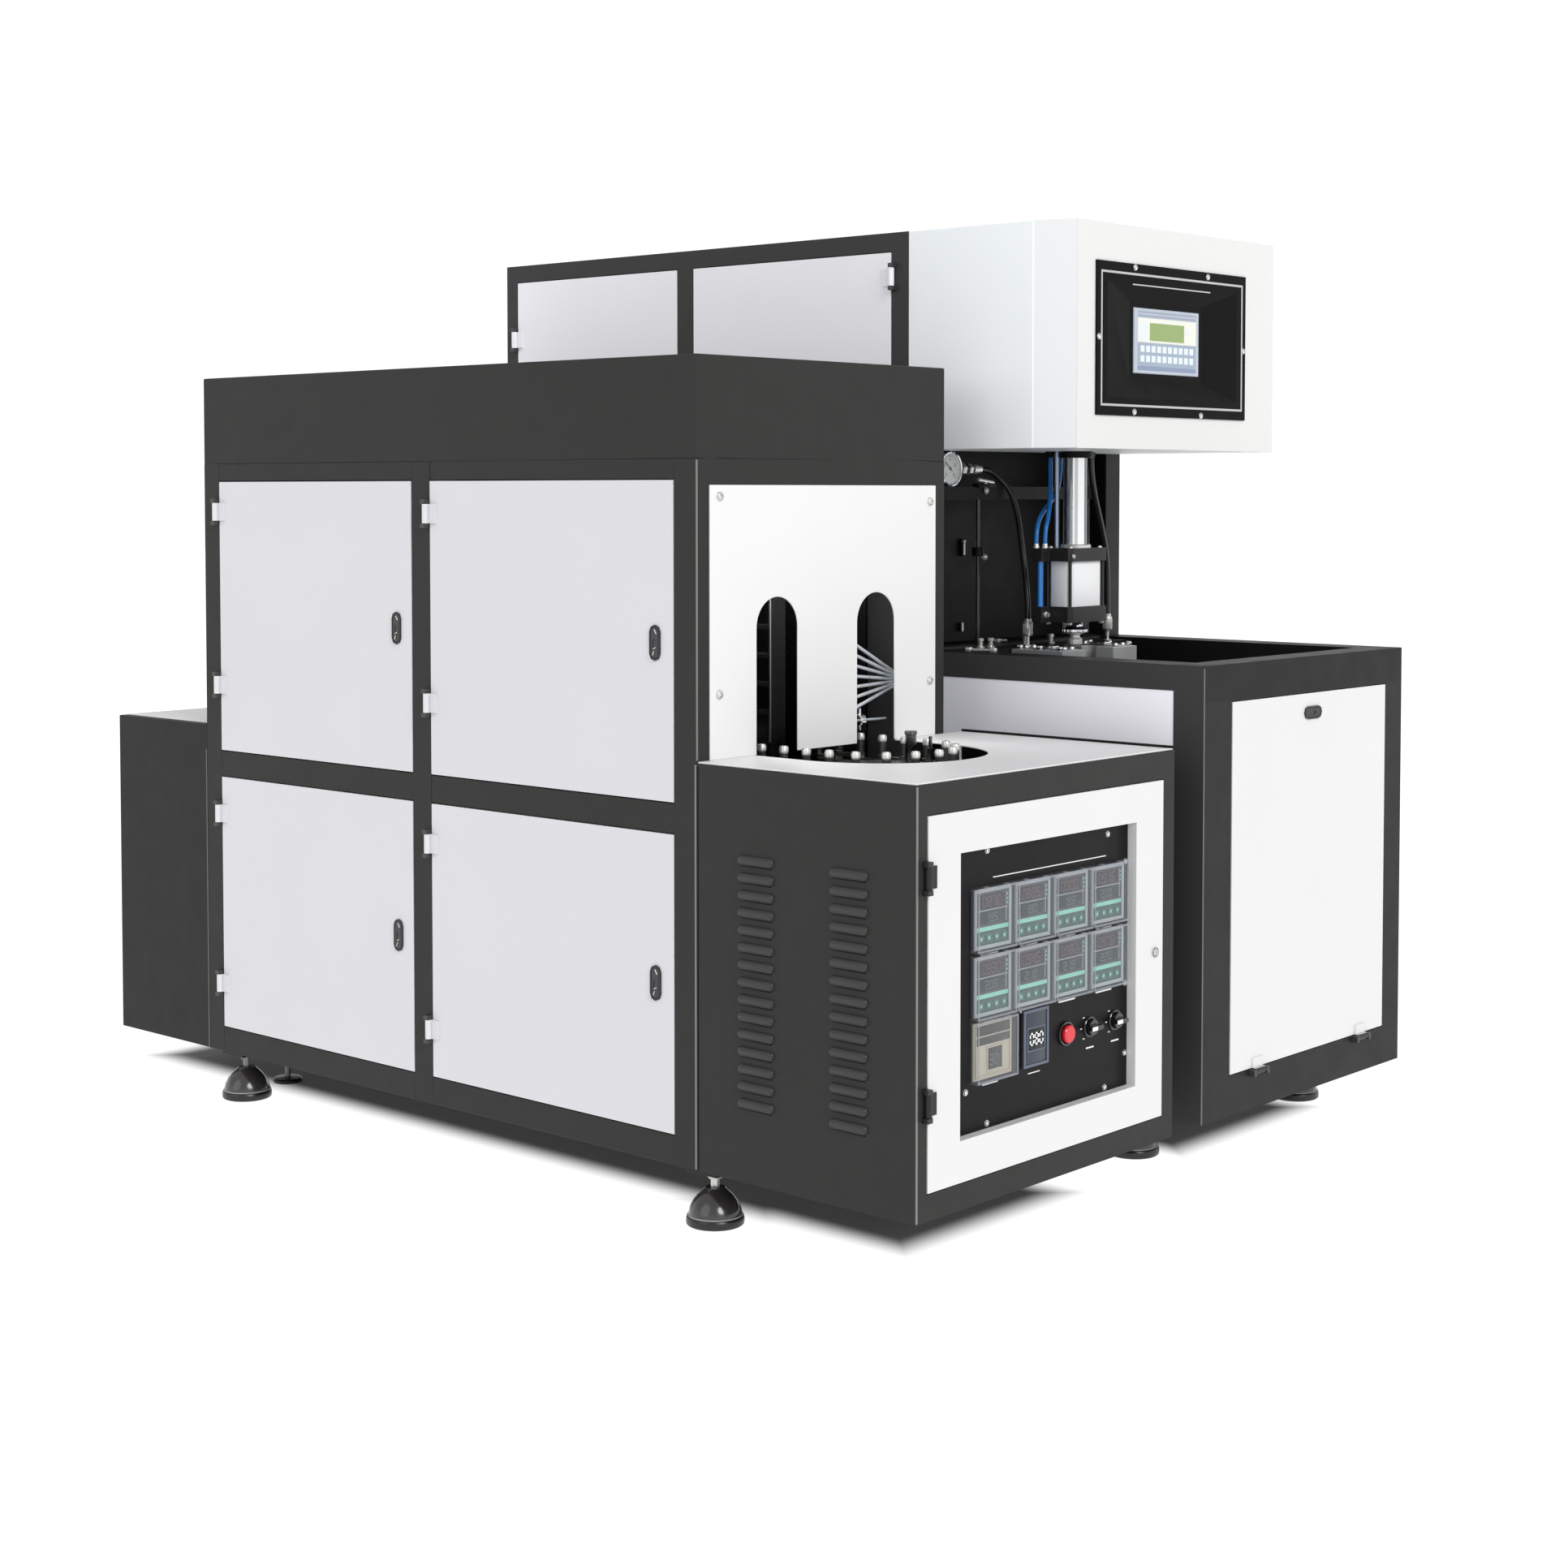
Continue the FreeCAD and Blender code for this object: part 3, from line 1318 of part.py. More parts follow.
def flap_knuckle(x):
    """A knuckle and tab under the panel's lower edge, lying along x."""
    half = knuckle_height / 2
    place = Vector(x, table_axis.y, table_axis.z)
    knuckle = rod(place - X * half, knuckle_radius, knuckle_height, X)
    face = hinge_standoff - door_proud
    tab = slab(place, Z, -Y, X, (0, knuckle_radius + hinge_tab),
               (-face, -face + hinge_tab_thickness), (-half, half))
    bore = knuckle_hole(place - X * knuckle_height, 2 * knuckle_height, X,
                        x == table_hinge_places[0])
    return knuckle.fuse(tab), bore


def flap_bracket(x):
    half = knuckle_height / 2 + door_gap / 4
    place = Vector(x, table_axis.y, table_axis.z)
    span = (-knuckle_radius - 2, knuckle_radius - door_gap)
    reach = (-hinge_standoff, knuckle_radius)
    lugs = [slab(place, Z, -Y, X, span, reach, ends)
            for ends in ((half, half + hinge_lug), (-half - hinge_lug, -half))]
    pin = hinge_pin(place - X * (half + hinge_lug / 2), 2 * half + hinge_lug, X,
                    x == table_hinge_places[0])
    return lugs[0].fuse([lugs[1], pin]).removeSplitter()


def table_panel():
    """The folded front panel of the table, which tilts out about its lower edge."""
    back = table_face + door_depth
    panel = block(table_panel_left, table_face, table_panel_bottom, table_panel_right, back,
                  table_panel_top)
    panel = panel.cut(block(table_panel_left + sheet, table_face + sheet,
                            table_panel_bottom + sheet, table_panel_right - sheet, back,
                            table_panel_top - sheet))
    for x in table_hinge_places:
        knuckle, bore = flap_knuckle(x)
        panel = panel.fuse(knuckle).cut(bore)
    hole = latch_length - 2 * (latch_radius - latch_body_radius)
    return panel.cut(slot(table_latch_centre, hole, latch_body_radius, sheet, X, Y))


# ---------------------------------------------------------------- nodes
def build():
    nodes = {}
    nodes["heater_frame"] = heater_tubes() + control_carriers() + chain_bed()
    nodes["conveyor_chain"] = conveyor_chain()
    nodes["chain_sprockets"] = [sprocket(turn_y, True), sprocket(rear_turn_y, False)]
    nodes["drive_motor"] = [drive_motor()]
    left_bank, right_bank = lamp_bank(-1), lamp_bank(1)
    nodes["unit_ties"] = unit_ties()
    nodes["lamp_reflectors"] = [left_bank[0], left_bank[1], right_bank[0], right_bank[1]]
    nodes["quartz_lamps"] = left_bank[2] + right_bank[2]
    nodes["oven_hood"] = [oven_hood()]
    nodes["arch_panel"] = [arch_panel()]
    nodes["fixed_side_panels"] = heater_fixed_panels() + blower_fixed_panels()
    nodes["rear_housing"] = [rear_housing()]
    nodes["rear_housing_lid"] = [rear_housing_lid()]
    nodes["control_housing"] = control_housing()
    nodes["control_deck"] = [control_deck()]

    brackets = []
    for name, (hinge_edge, free_edge, low, high, heights, latch_height) in oven_doors.items():
        nodes["oven_door_" + name] = [side_door(0, hinge_edge, free_edge, low, high, heights,
                                                latch_height)]
        place = latch_centre(hinge_edge, free_edge, latch_height)
        nodes["latch_housing_" + name] = [latch_housing(place, Z, -X)]
        nodes["latch_paddle_" + name] = [latch_paddle(place, Z, -X)]
        axis_x, axis_y = side_door_axis(0, hinge_edge, free_edge)
        brackets += [hinge_bracket(Vector(axis_x, axis_y, z), -Y, -X, z == heights[0])
                     for z in heights]
    for name, (hinge_edge, free_edge, low, high, heights) in cabinet_doors.items():
        nodes["cabinet_door_" + name] = [side_door(blower_left, hinge_edge, free_edge, low, high,
                                                   heights)]
        axis_x, axis_y = side_door_axis(blower_left, hinge_edge, free_edge)
        inward = Y if free_edge > hinge_edge else -Y
        brackets += [hinge_bracket(Vector(axis_x, axis_y, z), inward, -X, z == heights[0])
                     for z in heights]
    brackets += [hinge_bracket(control_axis + Z * z, X, -Y, z == control_hinge_heights[0])
                 for z in control_hinge_heights]
    brackets += [flap_bracket(x) for x in table_hinge_places]
    nodes["hinge_pins"] = brackets

    nodes["control_door"] = [control_door()]
    nodes["instrument_panel"] = [instrument_panel()]
    nodes["panel_instruments"] = panel_instruments()
    nodes["counter_timer"] = [counter_timer()]
    nodes["instrument_covers"] = instrument_covers()
    nodes["start_button"] = [start_button()]
    nodes["selector_knob_left"] = [selector_knob(*knob_centres[0])]
    nodes["selector_knob_right"] = [selector_knob(*knob_centres[1])]
    nodes["door_lock"] = [door_lock()]

    nodes["blower_frame"] = blower_tubes() + blower_sheets()
    nodes["head_housing"] = [head_housing()]
    nodes["hmi_bezel"] = [hmi_bezel()]
    nodes["touch_screen"] = [touch_screen()]
    nodes["table_panel"] = [table_panel()]
    nodes["latch_housing_table"] = [latch_housing(table_latch_centre, X, -Y)]
    nodes["latch_paddle_table"] = [latch_paddle(table_latch_centre, X, -Y)]

    nodes["blow_column"] = blow_column()
    nodes["cylinder_flanges"] = cylinder_flanges()
    nodes["cylinder_body"] = [cylinder_body()]
    nodes["blow_nozzle"] = [blow_nozzle()]
    nodes["air_tube"] = [air_tube()]
    nodes["pressure_gauge"] = [pressure_gauge()]
    nodes["clamp_rails"] = clamp_rails()
    nodes["mould_left"] = [mould_half(-1)]
    nodes["mould_right"] = [mould_half(1)]
    nodes["air_fittings"] = air_fittings()
    nodes["hose_black_supply"] = [hose(black_hose_route, black_hose, "hose_black_supply")]
    nodes["hose_black_return"] = [hose(return_hose_route, black_hose, "hose_black_return")]
    nodes["hose_blue_supply"] = [hose(blue_hose_route, blue_hose, "hose_blue_supply")]
    nodes["hose_blue_return"] = [hose(blue_return_route, blue_hose, "hose_blue_return")]

    disc, stem = small_foot()
    nodes["foot_pads"] = [foot_pad(x, y) for x, y in heater_feet + blower_feet] + [disc]
    nodes["foot_stems"] = [foot_stem(x, y) for x, y in heater_feet + blower_feet] + [stem]
    return nodes


os.makedirs("parts", exist_ok=True)
for node, solids in build().items():
    shape = solids[0] if len(solids) == 1 else Part.makeCompound(solids)
    shape.translate(-origin)
    shape.exportStep("parts/" + node + ".step")
print("origin of the layout axes is at", -origin)
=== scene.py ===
import math

import bmesh
import bpy
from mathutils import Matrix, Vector


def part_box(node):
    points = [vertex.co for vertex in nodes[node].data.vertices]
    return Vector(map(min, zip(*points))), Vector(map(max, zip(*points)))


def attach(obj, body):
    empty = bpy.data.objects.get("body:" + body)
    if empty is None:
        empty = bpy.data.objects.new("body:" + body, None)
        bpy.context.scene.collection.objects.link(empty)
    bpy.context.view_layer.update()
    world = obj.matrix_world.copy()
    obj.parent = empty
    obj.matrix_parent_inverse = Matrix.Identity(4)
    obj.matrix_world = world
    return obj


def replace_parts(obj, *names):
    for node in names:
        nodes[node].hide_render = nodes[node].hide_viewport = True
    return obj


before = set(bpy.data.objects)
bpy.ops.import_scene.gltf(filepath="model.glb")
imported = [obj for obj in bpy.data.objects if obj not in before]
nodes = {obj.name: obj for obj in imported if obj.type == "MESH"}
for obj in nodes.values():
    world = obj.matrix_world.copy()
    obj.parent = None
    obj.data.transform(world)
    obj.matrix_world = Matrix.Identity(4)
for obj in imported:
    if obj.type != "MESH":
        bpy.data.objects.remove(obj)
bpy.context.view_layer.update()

# ---- places
# Layout coordinates, in millimetres: x from the heating unit's left face to the right, y from
# the control cabinet's front face to the back, z up from the floor.
LAYOUT_ORIGIN = Vector((750.5, 1064.5, 0))
MM = 0.001
UP, DOWN, FORWARD, RIGHT = (0, 0, 1), (0, 0, -1), (0, -1, 0), (1, 0, 0)

HOUSING_BACK = 463.6
BASE_HEIGHT = 97
BLOWER_LEFT, BLOWER_RIGHT = 799, 1514
BRIDGE_TOP = 905
STATION_X, STATION_Y = 1156.5, 530
STATION = (STATION_X, STATION_Y)
UPPER_FLANGE_TOP = 1104
HEAD_UNDERSIDE = 1296

# The preform chain.
LANE_CENTRE = 325
TURN_Y, REAR_TURN_Y = 345, 1665.8
CHAIN_PITCH = 50.8
SPROCKET_TEETH = 16
STRAIGHT_JOINTS = 26
LINK_TOP = 748

# Instruments and controls on the control door, by their centres (x, z), and its lock.
INSTRUMENT_FACE = 17
CASE_FACE = INSTRUMENT_FACE - 4
CONTROLLER_SIZE = 96
CONTROLLERS = [(208 + k * 105.4, z) for z in (542, 435) for k in range(4)]
TIMER = (210, 332)
MODULE = (325, 331)
BUTTON = (412, 322)
KNOBS = {"left": (482, 322), "right": (555, 322)}
LOCK = (647, -3.2, 427)


def P(x, y, z):
    """A layout point in metres, in the shared frame."""
    return (Vector((x, y, z)) - LAYOUT_ORIGIN) * MM


def around(centre, radius, count):
    """Points evenly spaced on a circle, as (x, y)."""
    for k in range(count):
        a = 2 * math.pi * k / count
        yield centre[0] + radius * math.cos(a), centre[1] + radius * math.sin(a)


def lin(r, g=None, b=None):
    """A colour, or a grey, given from 0 to 255 as on a screen, made linear."""
    def one(v):
        v = v / 255
        return v / 12.92 if v <= 0.04045 else ((v + 0.055) / 1.055) ** 2.4
    return (one(r), one(r if g is None else g), one(r if b is None else b), 1.0)


# ---- materials
class Nodes:
    """A material and the few ways of joining shader nodes that the finishes need."""

    def __init__(self, name):
        self.material = bpy.data.materials.new("finish_" + name)
        self.material.use_nodes = True
        self.tree = self.material.node_tree
        self.shader = self.tree.nodes["Principled BSDF"].inputs
        self.place = self.add("ShaderNodeTexCoord", {}, "Object")

    def feed(self, socket, value):
        """Joins an output to the socket, or sets the socket to a value."""
        if hasattr(value, "is_output"):
            self.tree.links.new(value, socket)
        else:
            socket.default_value = value

    def add(self, kind, inputs, output=0, **settings):
        """A new node's output; sockets go by name or number."""
        node = self.tree.nodes.new(kind)
        for key, value in settings.items():
            setattr(node, key, value)
        for key, value in inputs.items():
            self.feed(node.inputs[key], value)
        return node.outputs[output]

    def noise(self, scale, detail=2.0, stretch=None):
        where = self.place
        if stretch:
            where = self.add("ShaderNodeMapping", {"Vector": where, "Scale": stretch})
        return self.add("ShaderNodeTexNoise", {"Vector": where, "Scale": scale,
                                               "Detail": detail})

    def ramp(self, value, from_min, from_max, to_min, to_max, curve="LINEAR"):
        return self.add("ShaderNodeMapRange",
                        {"Value": value, "From Min": from_min, "From Max": from_max,
                         "To Min": to_min, "To Max": to_max}, interpolation_type=curve)

    def spread(self, noise, low, high):
        """The middle of a noise spread over a range."""
        return self.ramp(noise, 0.3, 0.7, low, high)

    def mix(self, factor, a, b):
        return self.add("ShaderNodeMix", {0: factor, 6: a, 7: b}, 2, data_type="RGBA")

    def math(self, operation, a, b, kind="ShaderNodeMath"):
        return self.add(kind, {0: a, 1: b}, operation=operation)

    def inside(self, region):
        """1 where all tests of a region hold, such as "x>801 z<905", and 0 elsewhere."""
        result = None
        for test in region.split():
            axis, limit = "xyz".index(test[0]), float(test[2:])
            along = self.add("ShaderNodeSeparateXYZ", {0: self.place}, axis)
            side = self.math("GREATER_THAN" if test[1] == ">" else "LESS_THAN", along,
                             (limit - LAYOUT_ORIGIN[axis]) * MM)
            result = side if result is None else self.math("MULTIPLY", result, side)
        return result


M = {}


def finish_of(name, colour, rough=0.4, spread=0.06, metal=0.0, grain=700.0, depth=0.03,
              mottle=0.02, stretch=None, other=(), coat=0.0, specular=0.5, alpha=1.0, glow=0.0):
    """A surface with its own grain, mottled colour and uneven gloss.

    other lists (region, colour) for parts of a node that take another colour: some their own
    colour, others painted shade, painted light or painted reflection. A region is tests on
    layout coordinates; a later entry lies over an earlier one."""
    n = Nodes(name)
    dark = tuple(v * (1 - mottle) for v in colour[:3]) + (1,)
    light = tuple(min(1, v * (1 + mottle)) for v in colour[:3]) + (1,)
    tint = n.mix(n.spread(n.noise(5.0, 3.0), 0, 1), dark, light)
    for region, second in other:
        tint = n.mix(n.inside(region), tint, second)
    fine = n.noise(grain, 2.0, stretch)
    gloss = fine if stretch else n.noise(22.0, 4.0)
    for socket, value in {
            "Base Color": tint, "Roughness": n.spread(gloss, rough - spread, rough + spread),
            "Normal": n.add("ShaderNodeBump", {"Strength": depth * 4, "Distance": 0.0004,
                                               "Height": fine}, "Normal"),
            "Metallic": metal, "Specular IOR Level": specular, "Coat Weight": coat,
            "Coat Roughness": 0.12, "Alpha": alpha}.items():
        n.feed(n.shader[socket], value)
    if glow:
        n.feed(n.shader["Emission Color"], colour)
        n.feed(n.shader["Emission Strength"], glow)
    M[name] = n.material


def dark_coat(name, other):
    finish_of(name, DARK, 0.5, 0.04, grain=900, depth=0.05, specular=0.16, other=other)


def white_coat(name, colour, rough=0.42, spread=0.04, depth=0.035, other=()):
    finish_of(name, colour, rough, spread, grain=900, depth=depth, mottle=0.008, specular=0.3,
              other=other)


def plated(name, colour, other=()):
    finish_of(name, colour, 0.3, 0.1, 0.75, 600, 0.04, mottle=0.1, other=other)


def moulded(name, colour, rough, spread=0.05, depth=0.03, **values):
    finish_of(name, colour, rough, spread, depth=depth, **{"grain": 900, **values})


def clear(name, colour, alpha, rough, specular=0.5):
    """A clear or milky plastic or glass with faint flow marks."""
    finish_of(name, colour, rough, 0.04, grain=40, depth=0.01, specular=specular, alpha=alpha)


def lit(name, colour, glow=0.05):
    """A lit surface of a display."""
    finish_of(name, colour, 0.25, 0.04, grain=900, depth=0.01, mottle=0.03, glow=glow)


DARK, BLACK, NEAR_BLACK = lin(44, 44, 43), lin(19), lin(24)
# Painted shade: the rear box's dark coat a darker grey than the rest.
REAR_BOX_SHADE = "y>1834 z<748"
# Painted shade: black inside the blower frame's open recess and inside the table's well. The
# well's rim top is near black.
RECESS_SHADE = "x>801 x<1512 y>672 z<1712 z>905"
WELL_SHADE = "x>868 x<1445 y>66 y<668 z>595 z<909.5"
WELL_RIM = "y>74 y<668 z>909.4"
# Painted light: the blower frame's left side a lighter grey than its other faces.
BLOWER_LEFT_SIDE_LIGHT = "x<801"
# Painted shade: the table's front face a darker grey than the rest of the frame, its top rail
# darker still.
TABLE_FRONT_SHADE = "y<1"
TABLE_FRONT_RAIL_SHADE = "y<1 z>845"
FLAP_KNUCKLES = "x>799 z<170.6"
# Painted shade: the side panels' faces inside the oven a mid grey instead of white.
OVEN_INNER_PANEL_SHADE = "x<650.2 y<1829.2"
# Painted shade: the head's slanting facet and its front face in darker, neutral whites than its
# left side.
HEAD_FACET_SHADE = "x>800 x<831 y<375"
HEAD_FRONT_SHADE = "y<297.5"
# Painted shade: the reflectors' front ends, inside the dark oven, a dark grey.
REFLECTOR_FRONT_SHADE = "y<542.5"
# Painted shade: the spindle caps' lower parts a dark grey.
SPINDLE_FOOT_SHADE = "z<773.5"
# Painted shade: the rear feet's stems, under the machine, a darker grey than the front ones. The
# stems are also dark at their upper ends.
REAR_STEM_SHADE, STEM_TOPS = "y>1000", "z>88.5"
CONTROL_DOOR_HINGES = "x<700 y<0"
CONTROL_DOOR_KNUCKLES = "y<-1.5"
GUIDE_ROD = "x>1112 x<1133.5 y<600"

# The oven's dark coat, with painted shade on the rear box.
dark_coat("dark_powder_coat", [(REAR_BOX_SHADE, lin(36))])
# The station's dark coat: painted shade in the recess, in the well and on the table's front, the
# rim's top near black, and painted light on the frame's left side.
dark_coat("station_powder_coat",
          [(RECESS_SHADE, BLACK), (WELL_SHADE, BLACK), (WELL_RIM, NEAR_BLACK), (BLOWER_LEFT_SIDE_LIGHT, lin(56)),
           (TABLE_FRONT_SHADE, lin(35, 35, 34)), (TABLE_FRONT_RAIL_SHADE, lin(28, 28, 27))])
# These whites are copies of one white powder coat, each part's grey set to how light falls on
# it: painted light where a part stands in shade, as on the side panels and the cabinet doors,
# and painted shade where it takes much light, as on the oven doors.
white_coat("white_powder_coat", lin(211), other=[(FLAP_KNUCKLES, DARK)])
white_coat("arch_powder_coat", lin(223))
white_coat("lid_powder_coat", lin(212))
white_coat("door_powder_coat", lin(204, 204, 207), 0.44, 0.03)
white_coat("cabinet_door_powder_coat", lin(235, 235, 239), 0.44, 0.03)
white_coat("side_powder_coat", lin(244, 244, 250), 0.44, 0.03,
           other=[(OVEN_INNER_PANEL_SHADE, lin(118))])
white_coat("head_powder_coat", lin(236, 240, 242), 0.4, 0.03, 0.03,
           [(HEAD_FACET_SHADE, lin(220, 221, 222)), (HEAD_FRONT_SHADE, lin(213, 213, 212))])
white_coat("door_white_with_black_hinges", lin(212), other=[(CONTROL_DOOR_KNUCKLES, lin(30))])
# Painted light: the louvres' lips a lighter grey than the housing's dark coat.
finish_of("louvre_lit_coat", lin(51, 51, 50), 0.34, 0.05, grain=900, depth=0.04, specular=0.3)
# Painted highlights: light strips where vertical corners catch light, bright and dim.
finish_of("edge_highlight", lin(112, 112, 110), 0.4, 0.05, grain=900)
finish_of("edge_highlight_dim", lin(84, 84, 82), 0.4, 0.05, grain=900)
finish_of("hinge_finish", lin(50, 50, 49), 0.4, grain=800, depth=0.04,
          other=[(CONTROL_DOOR_HINGES, lin(30))])
finish_of("motor_paint", lin(96, 100, 104), 0.5, 0.08, grain=500, depth=0.12)

finish_of("chain_steel", lin(120, 119, 116), 0.36, 0.12, 0.9, 500, 0.06, mottle=0.2)
finish_of("mirror_aluminium", lin(120, 121, 123), 0.24, 0.08, 1.0, 700, 0.02,
          stretch=(1, 12, 1), other=[(REFLECTOR_FRONT_SHADE, lin(54))])
plated("zinc_plate", lin(214, 213, 210))
plated("spindle_plate", lin(214, 213, 210), [(SPINDLE_FOOT_SHADE, lin(84))])
plated("stem_plate", lin(206, 205, 202), [(REAR_STEM_SHADE, lin(120, 120, 119)),
                                          (STEM_TOPS, lin(40))])
finish_of("lead_wire", lin(200, 206, 212), 0.24, 0.06, 0.35, 600, 0.03, mottle=0.06)
# The column's facets, from the front round to the back, painted as light and dark reflection
# bands; then its left side and the guide rod.
finish_of("column_reflection_bands", lin(244, 245, 247), 0.16, 0.05, 0.75, 260, 0.012,
          stretch=(3, 3, 0.3),
          other=[("y>513.4 y<518.6", lin(196, 197, 200)), ("y>526.9", lin(226, 228, 230)),
                 ("y>534.4", lin(96, 98, 102)), ("x>1154.9 y<515", lin(120, 121, 124)),
                 ("x<1133.5", lin(58, 58, 60)), (GUIDE_ROD, lin(138, 150, 172))])
finish_of("dark_chrome", lin(112, 113, 116), 0.14, 0.05, 1.0, 260, 0.012, mottle=0.03)
finish_of("bright_chrome", lin(222, 223, 226), 0.1, 0.05, 1.0, 260, 0.012, mottle=0.03)
finish_of("brushed_barrel", lin(240, 241, 243), 0.36, 0.06, 0.1, 1500, 0.05,
          stretch=(10, 10, 0.5))
finish_of("milled_aluminium", lin(178, 180, 182), 0.3, 0.1, 1.0, 800, 0.05, stretch=(1, 8, 8))
finish_of("mould_frame", lin(168, 169, 170), 0.34, 0.07, 0.4, 500, 0.05, mottle=0.1)

finish_of("black_enamel", lin(17, 16, 18), 0.36, grain=600, depth=0.02, mottle=0.08,
          specular=0.12)
finish_of("bezel_black", lin(15, 15, 16), 0.4, 0.05, grain=900, depth=0.02, mottle=0.05,
          specular=0.045)
finish_of("flange_black", lin(34, 34, 35), 0.4, depth=0.04, mottle=0.08, specular=0.3)
finish_of("black_moulding", lin(26, 26, 27), 0.38, 0.08, grain=1100, depth=0.06, mottle=0.1)
finish_of("gloss_black", lin(14, 14, 15), 0.14, 0.05, grain=300, depth=0.015, mottle=0.1,
          coat=0.5)
finish_of("red_moulding", lin(206, 24, 36), 0.2, 0.05, grain=300, depth=0.015, mottle=0.06,
          coat=0.4)
moulded("latch_moulding", lin(44, 45, 46), 0.32, 0.07, 0.05, mottle=0.06)
moulded("instrument_moulding", lin(52, 50, 55), 0.36, 0.06, 0.04, grain=1000, mottle=0.06)
moulded("instrument_frame", lin(150, 158, 162), 0.38, 0.06, grain=1000)
moulded("beige_moulding", lin(164, 158, 142), 0.42, 0.06, 0.05, grain=1000)
moulded("brown_window", lin(50, 46, 40), 0.26, depth=0.01, grain=500, specular=0.25)
moulded("window_maroon", lin(42, 34, 38), 0.26, depth=0.01, grain=500, specular=0.2)
moulded("window_green", lin(36, 44, 45), 0.26, depth=0.01, grain=500, specular=0.2)
moulded("digit_red", lin(88, 68, 74), 0.3, depth=0.01)
moulded("digit_green", lin(84, 100, 100), 0.3, depth=0.01)
moulded("key_field_green", lin(38, 74, 64), 0.34)
moulded("key_mint", lin(124, 188, 170), 0.38)
moulded("key_green", lin(64, 102, 94), 0.38)
moulded("module_blue", lin(78, 88, 104), 0.34, 0.06, 0.04)
moulded("module_face", lin(40, 47, 60), 0.34, 0.06, 0.04)
moulded("print_white", lin(226, 226, 224), 0.5, 0.06, 0.02, grain=1400)
moulded("print_grey", lin(176, 178, 178), 0.5, 0.06, 0.02, grain=1400)
moulded("dial_white", lin(232, 233, 232), 0.35, depth=0.01, mottle=0.01)

finish_of("blue_tubing", lin(14, 112, 190), 0.12, 0.05, grain=160, depth=0.02, mottle=0.12,
          coat=0.3)
finish_of("black_tubing", lin(28, 28, 29), 0.34, 0.08, grain=240, depth=0.06, mottle=0.12)
finish_of("foot_rubber", lin(44, 41, 41), 0.2, grain=140, mottle=0.15, coat=0.5)
finish_of("foot_rim", lin(18, 17, 17), 0.3, grain=140, mottle=0.1)
finish_of("foot_line", lin(140, 138, 136), 0.3, grain=300)
clear("quartz_tube", lin(60, 60, 62), 0.3, 0.9, specular=0.04)
clear("clear_cover", lin(196, 202, 208), 0.07, 0.16)
clear("cover_edge", lin(150, 154, 162), 0.42, 0.2)
clear("dial_glass", lin(240, 244, 246), 0.12, 0.05)
lit("screen_frame", lin(170, 178, 188))
lit("screen_bar", lin(142, 152, 170))
lit("screen_cream", lin(216, 217, 206), 0.06)
lit("screen_olive", lin(134, 156, 96))
lit("screen_blue", lin(144, 158, 176))
lit("screen_keys", lin(208, 216, 218))
lit("screen_deep_blue", lin(122, 136, 162))


# ---- mesh helpers
EASED, SHARP_ANGLE, PILL_POINTS, PILL_STEPS = 2, 35, 20, 6


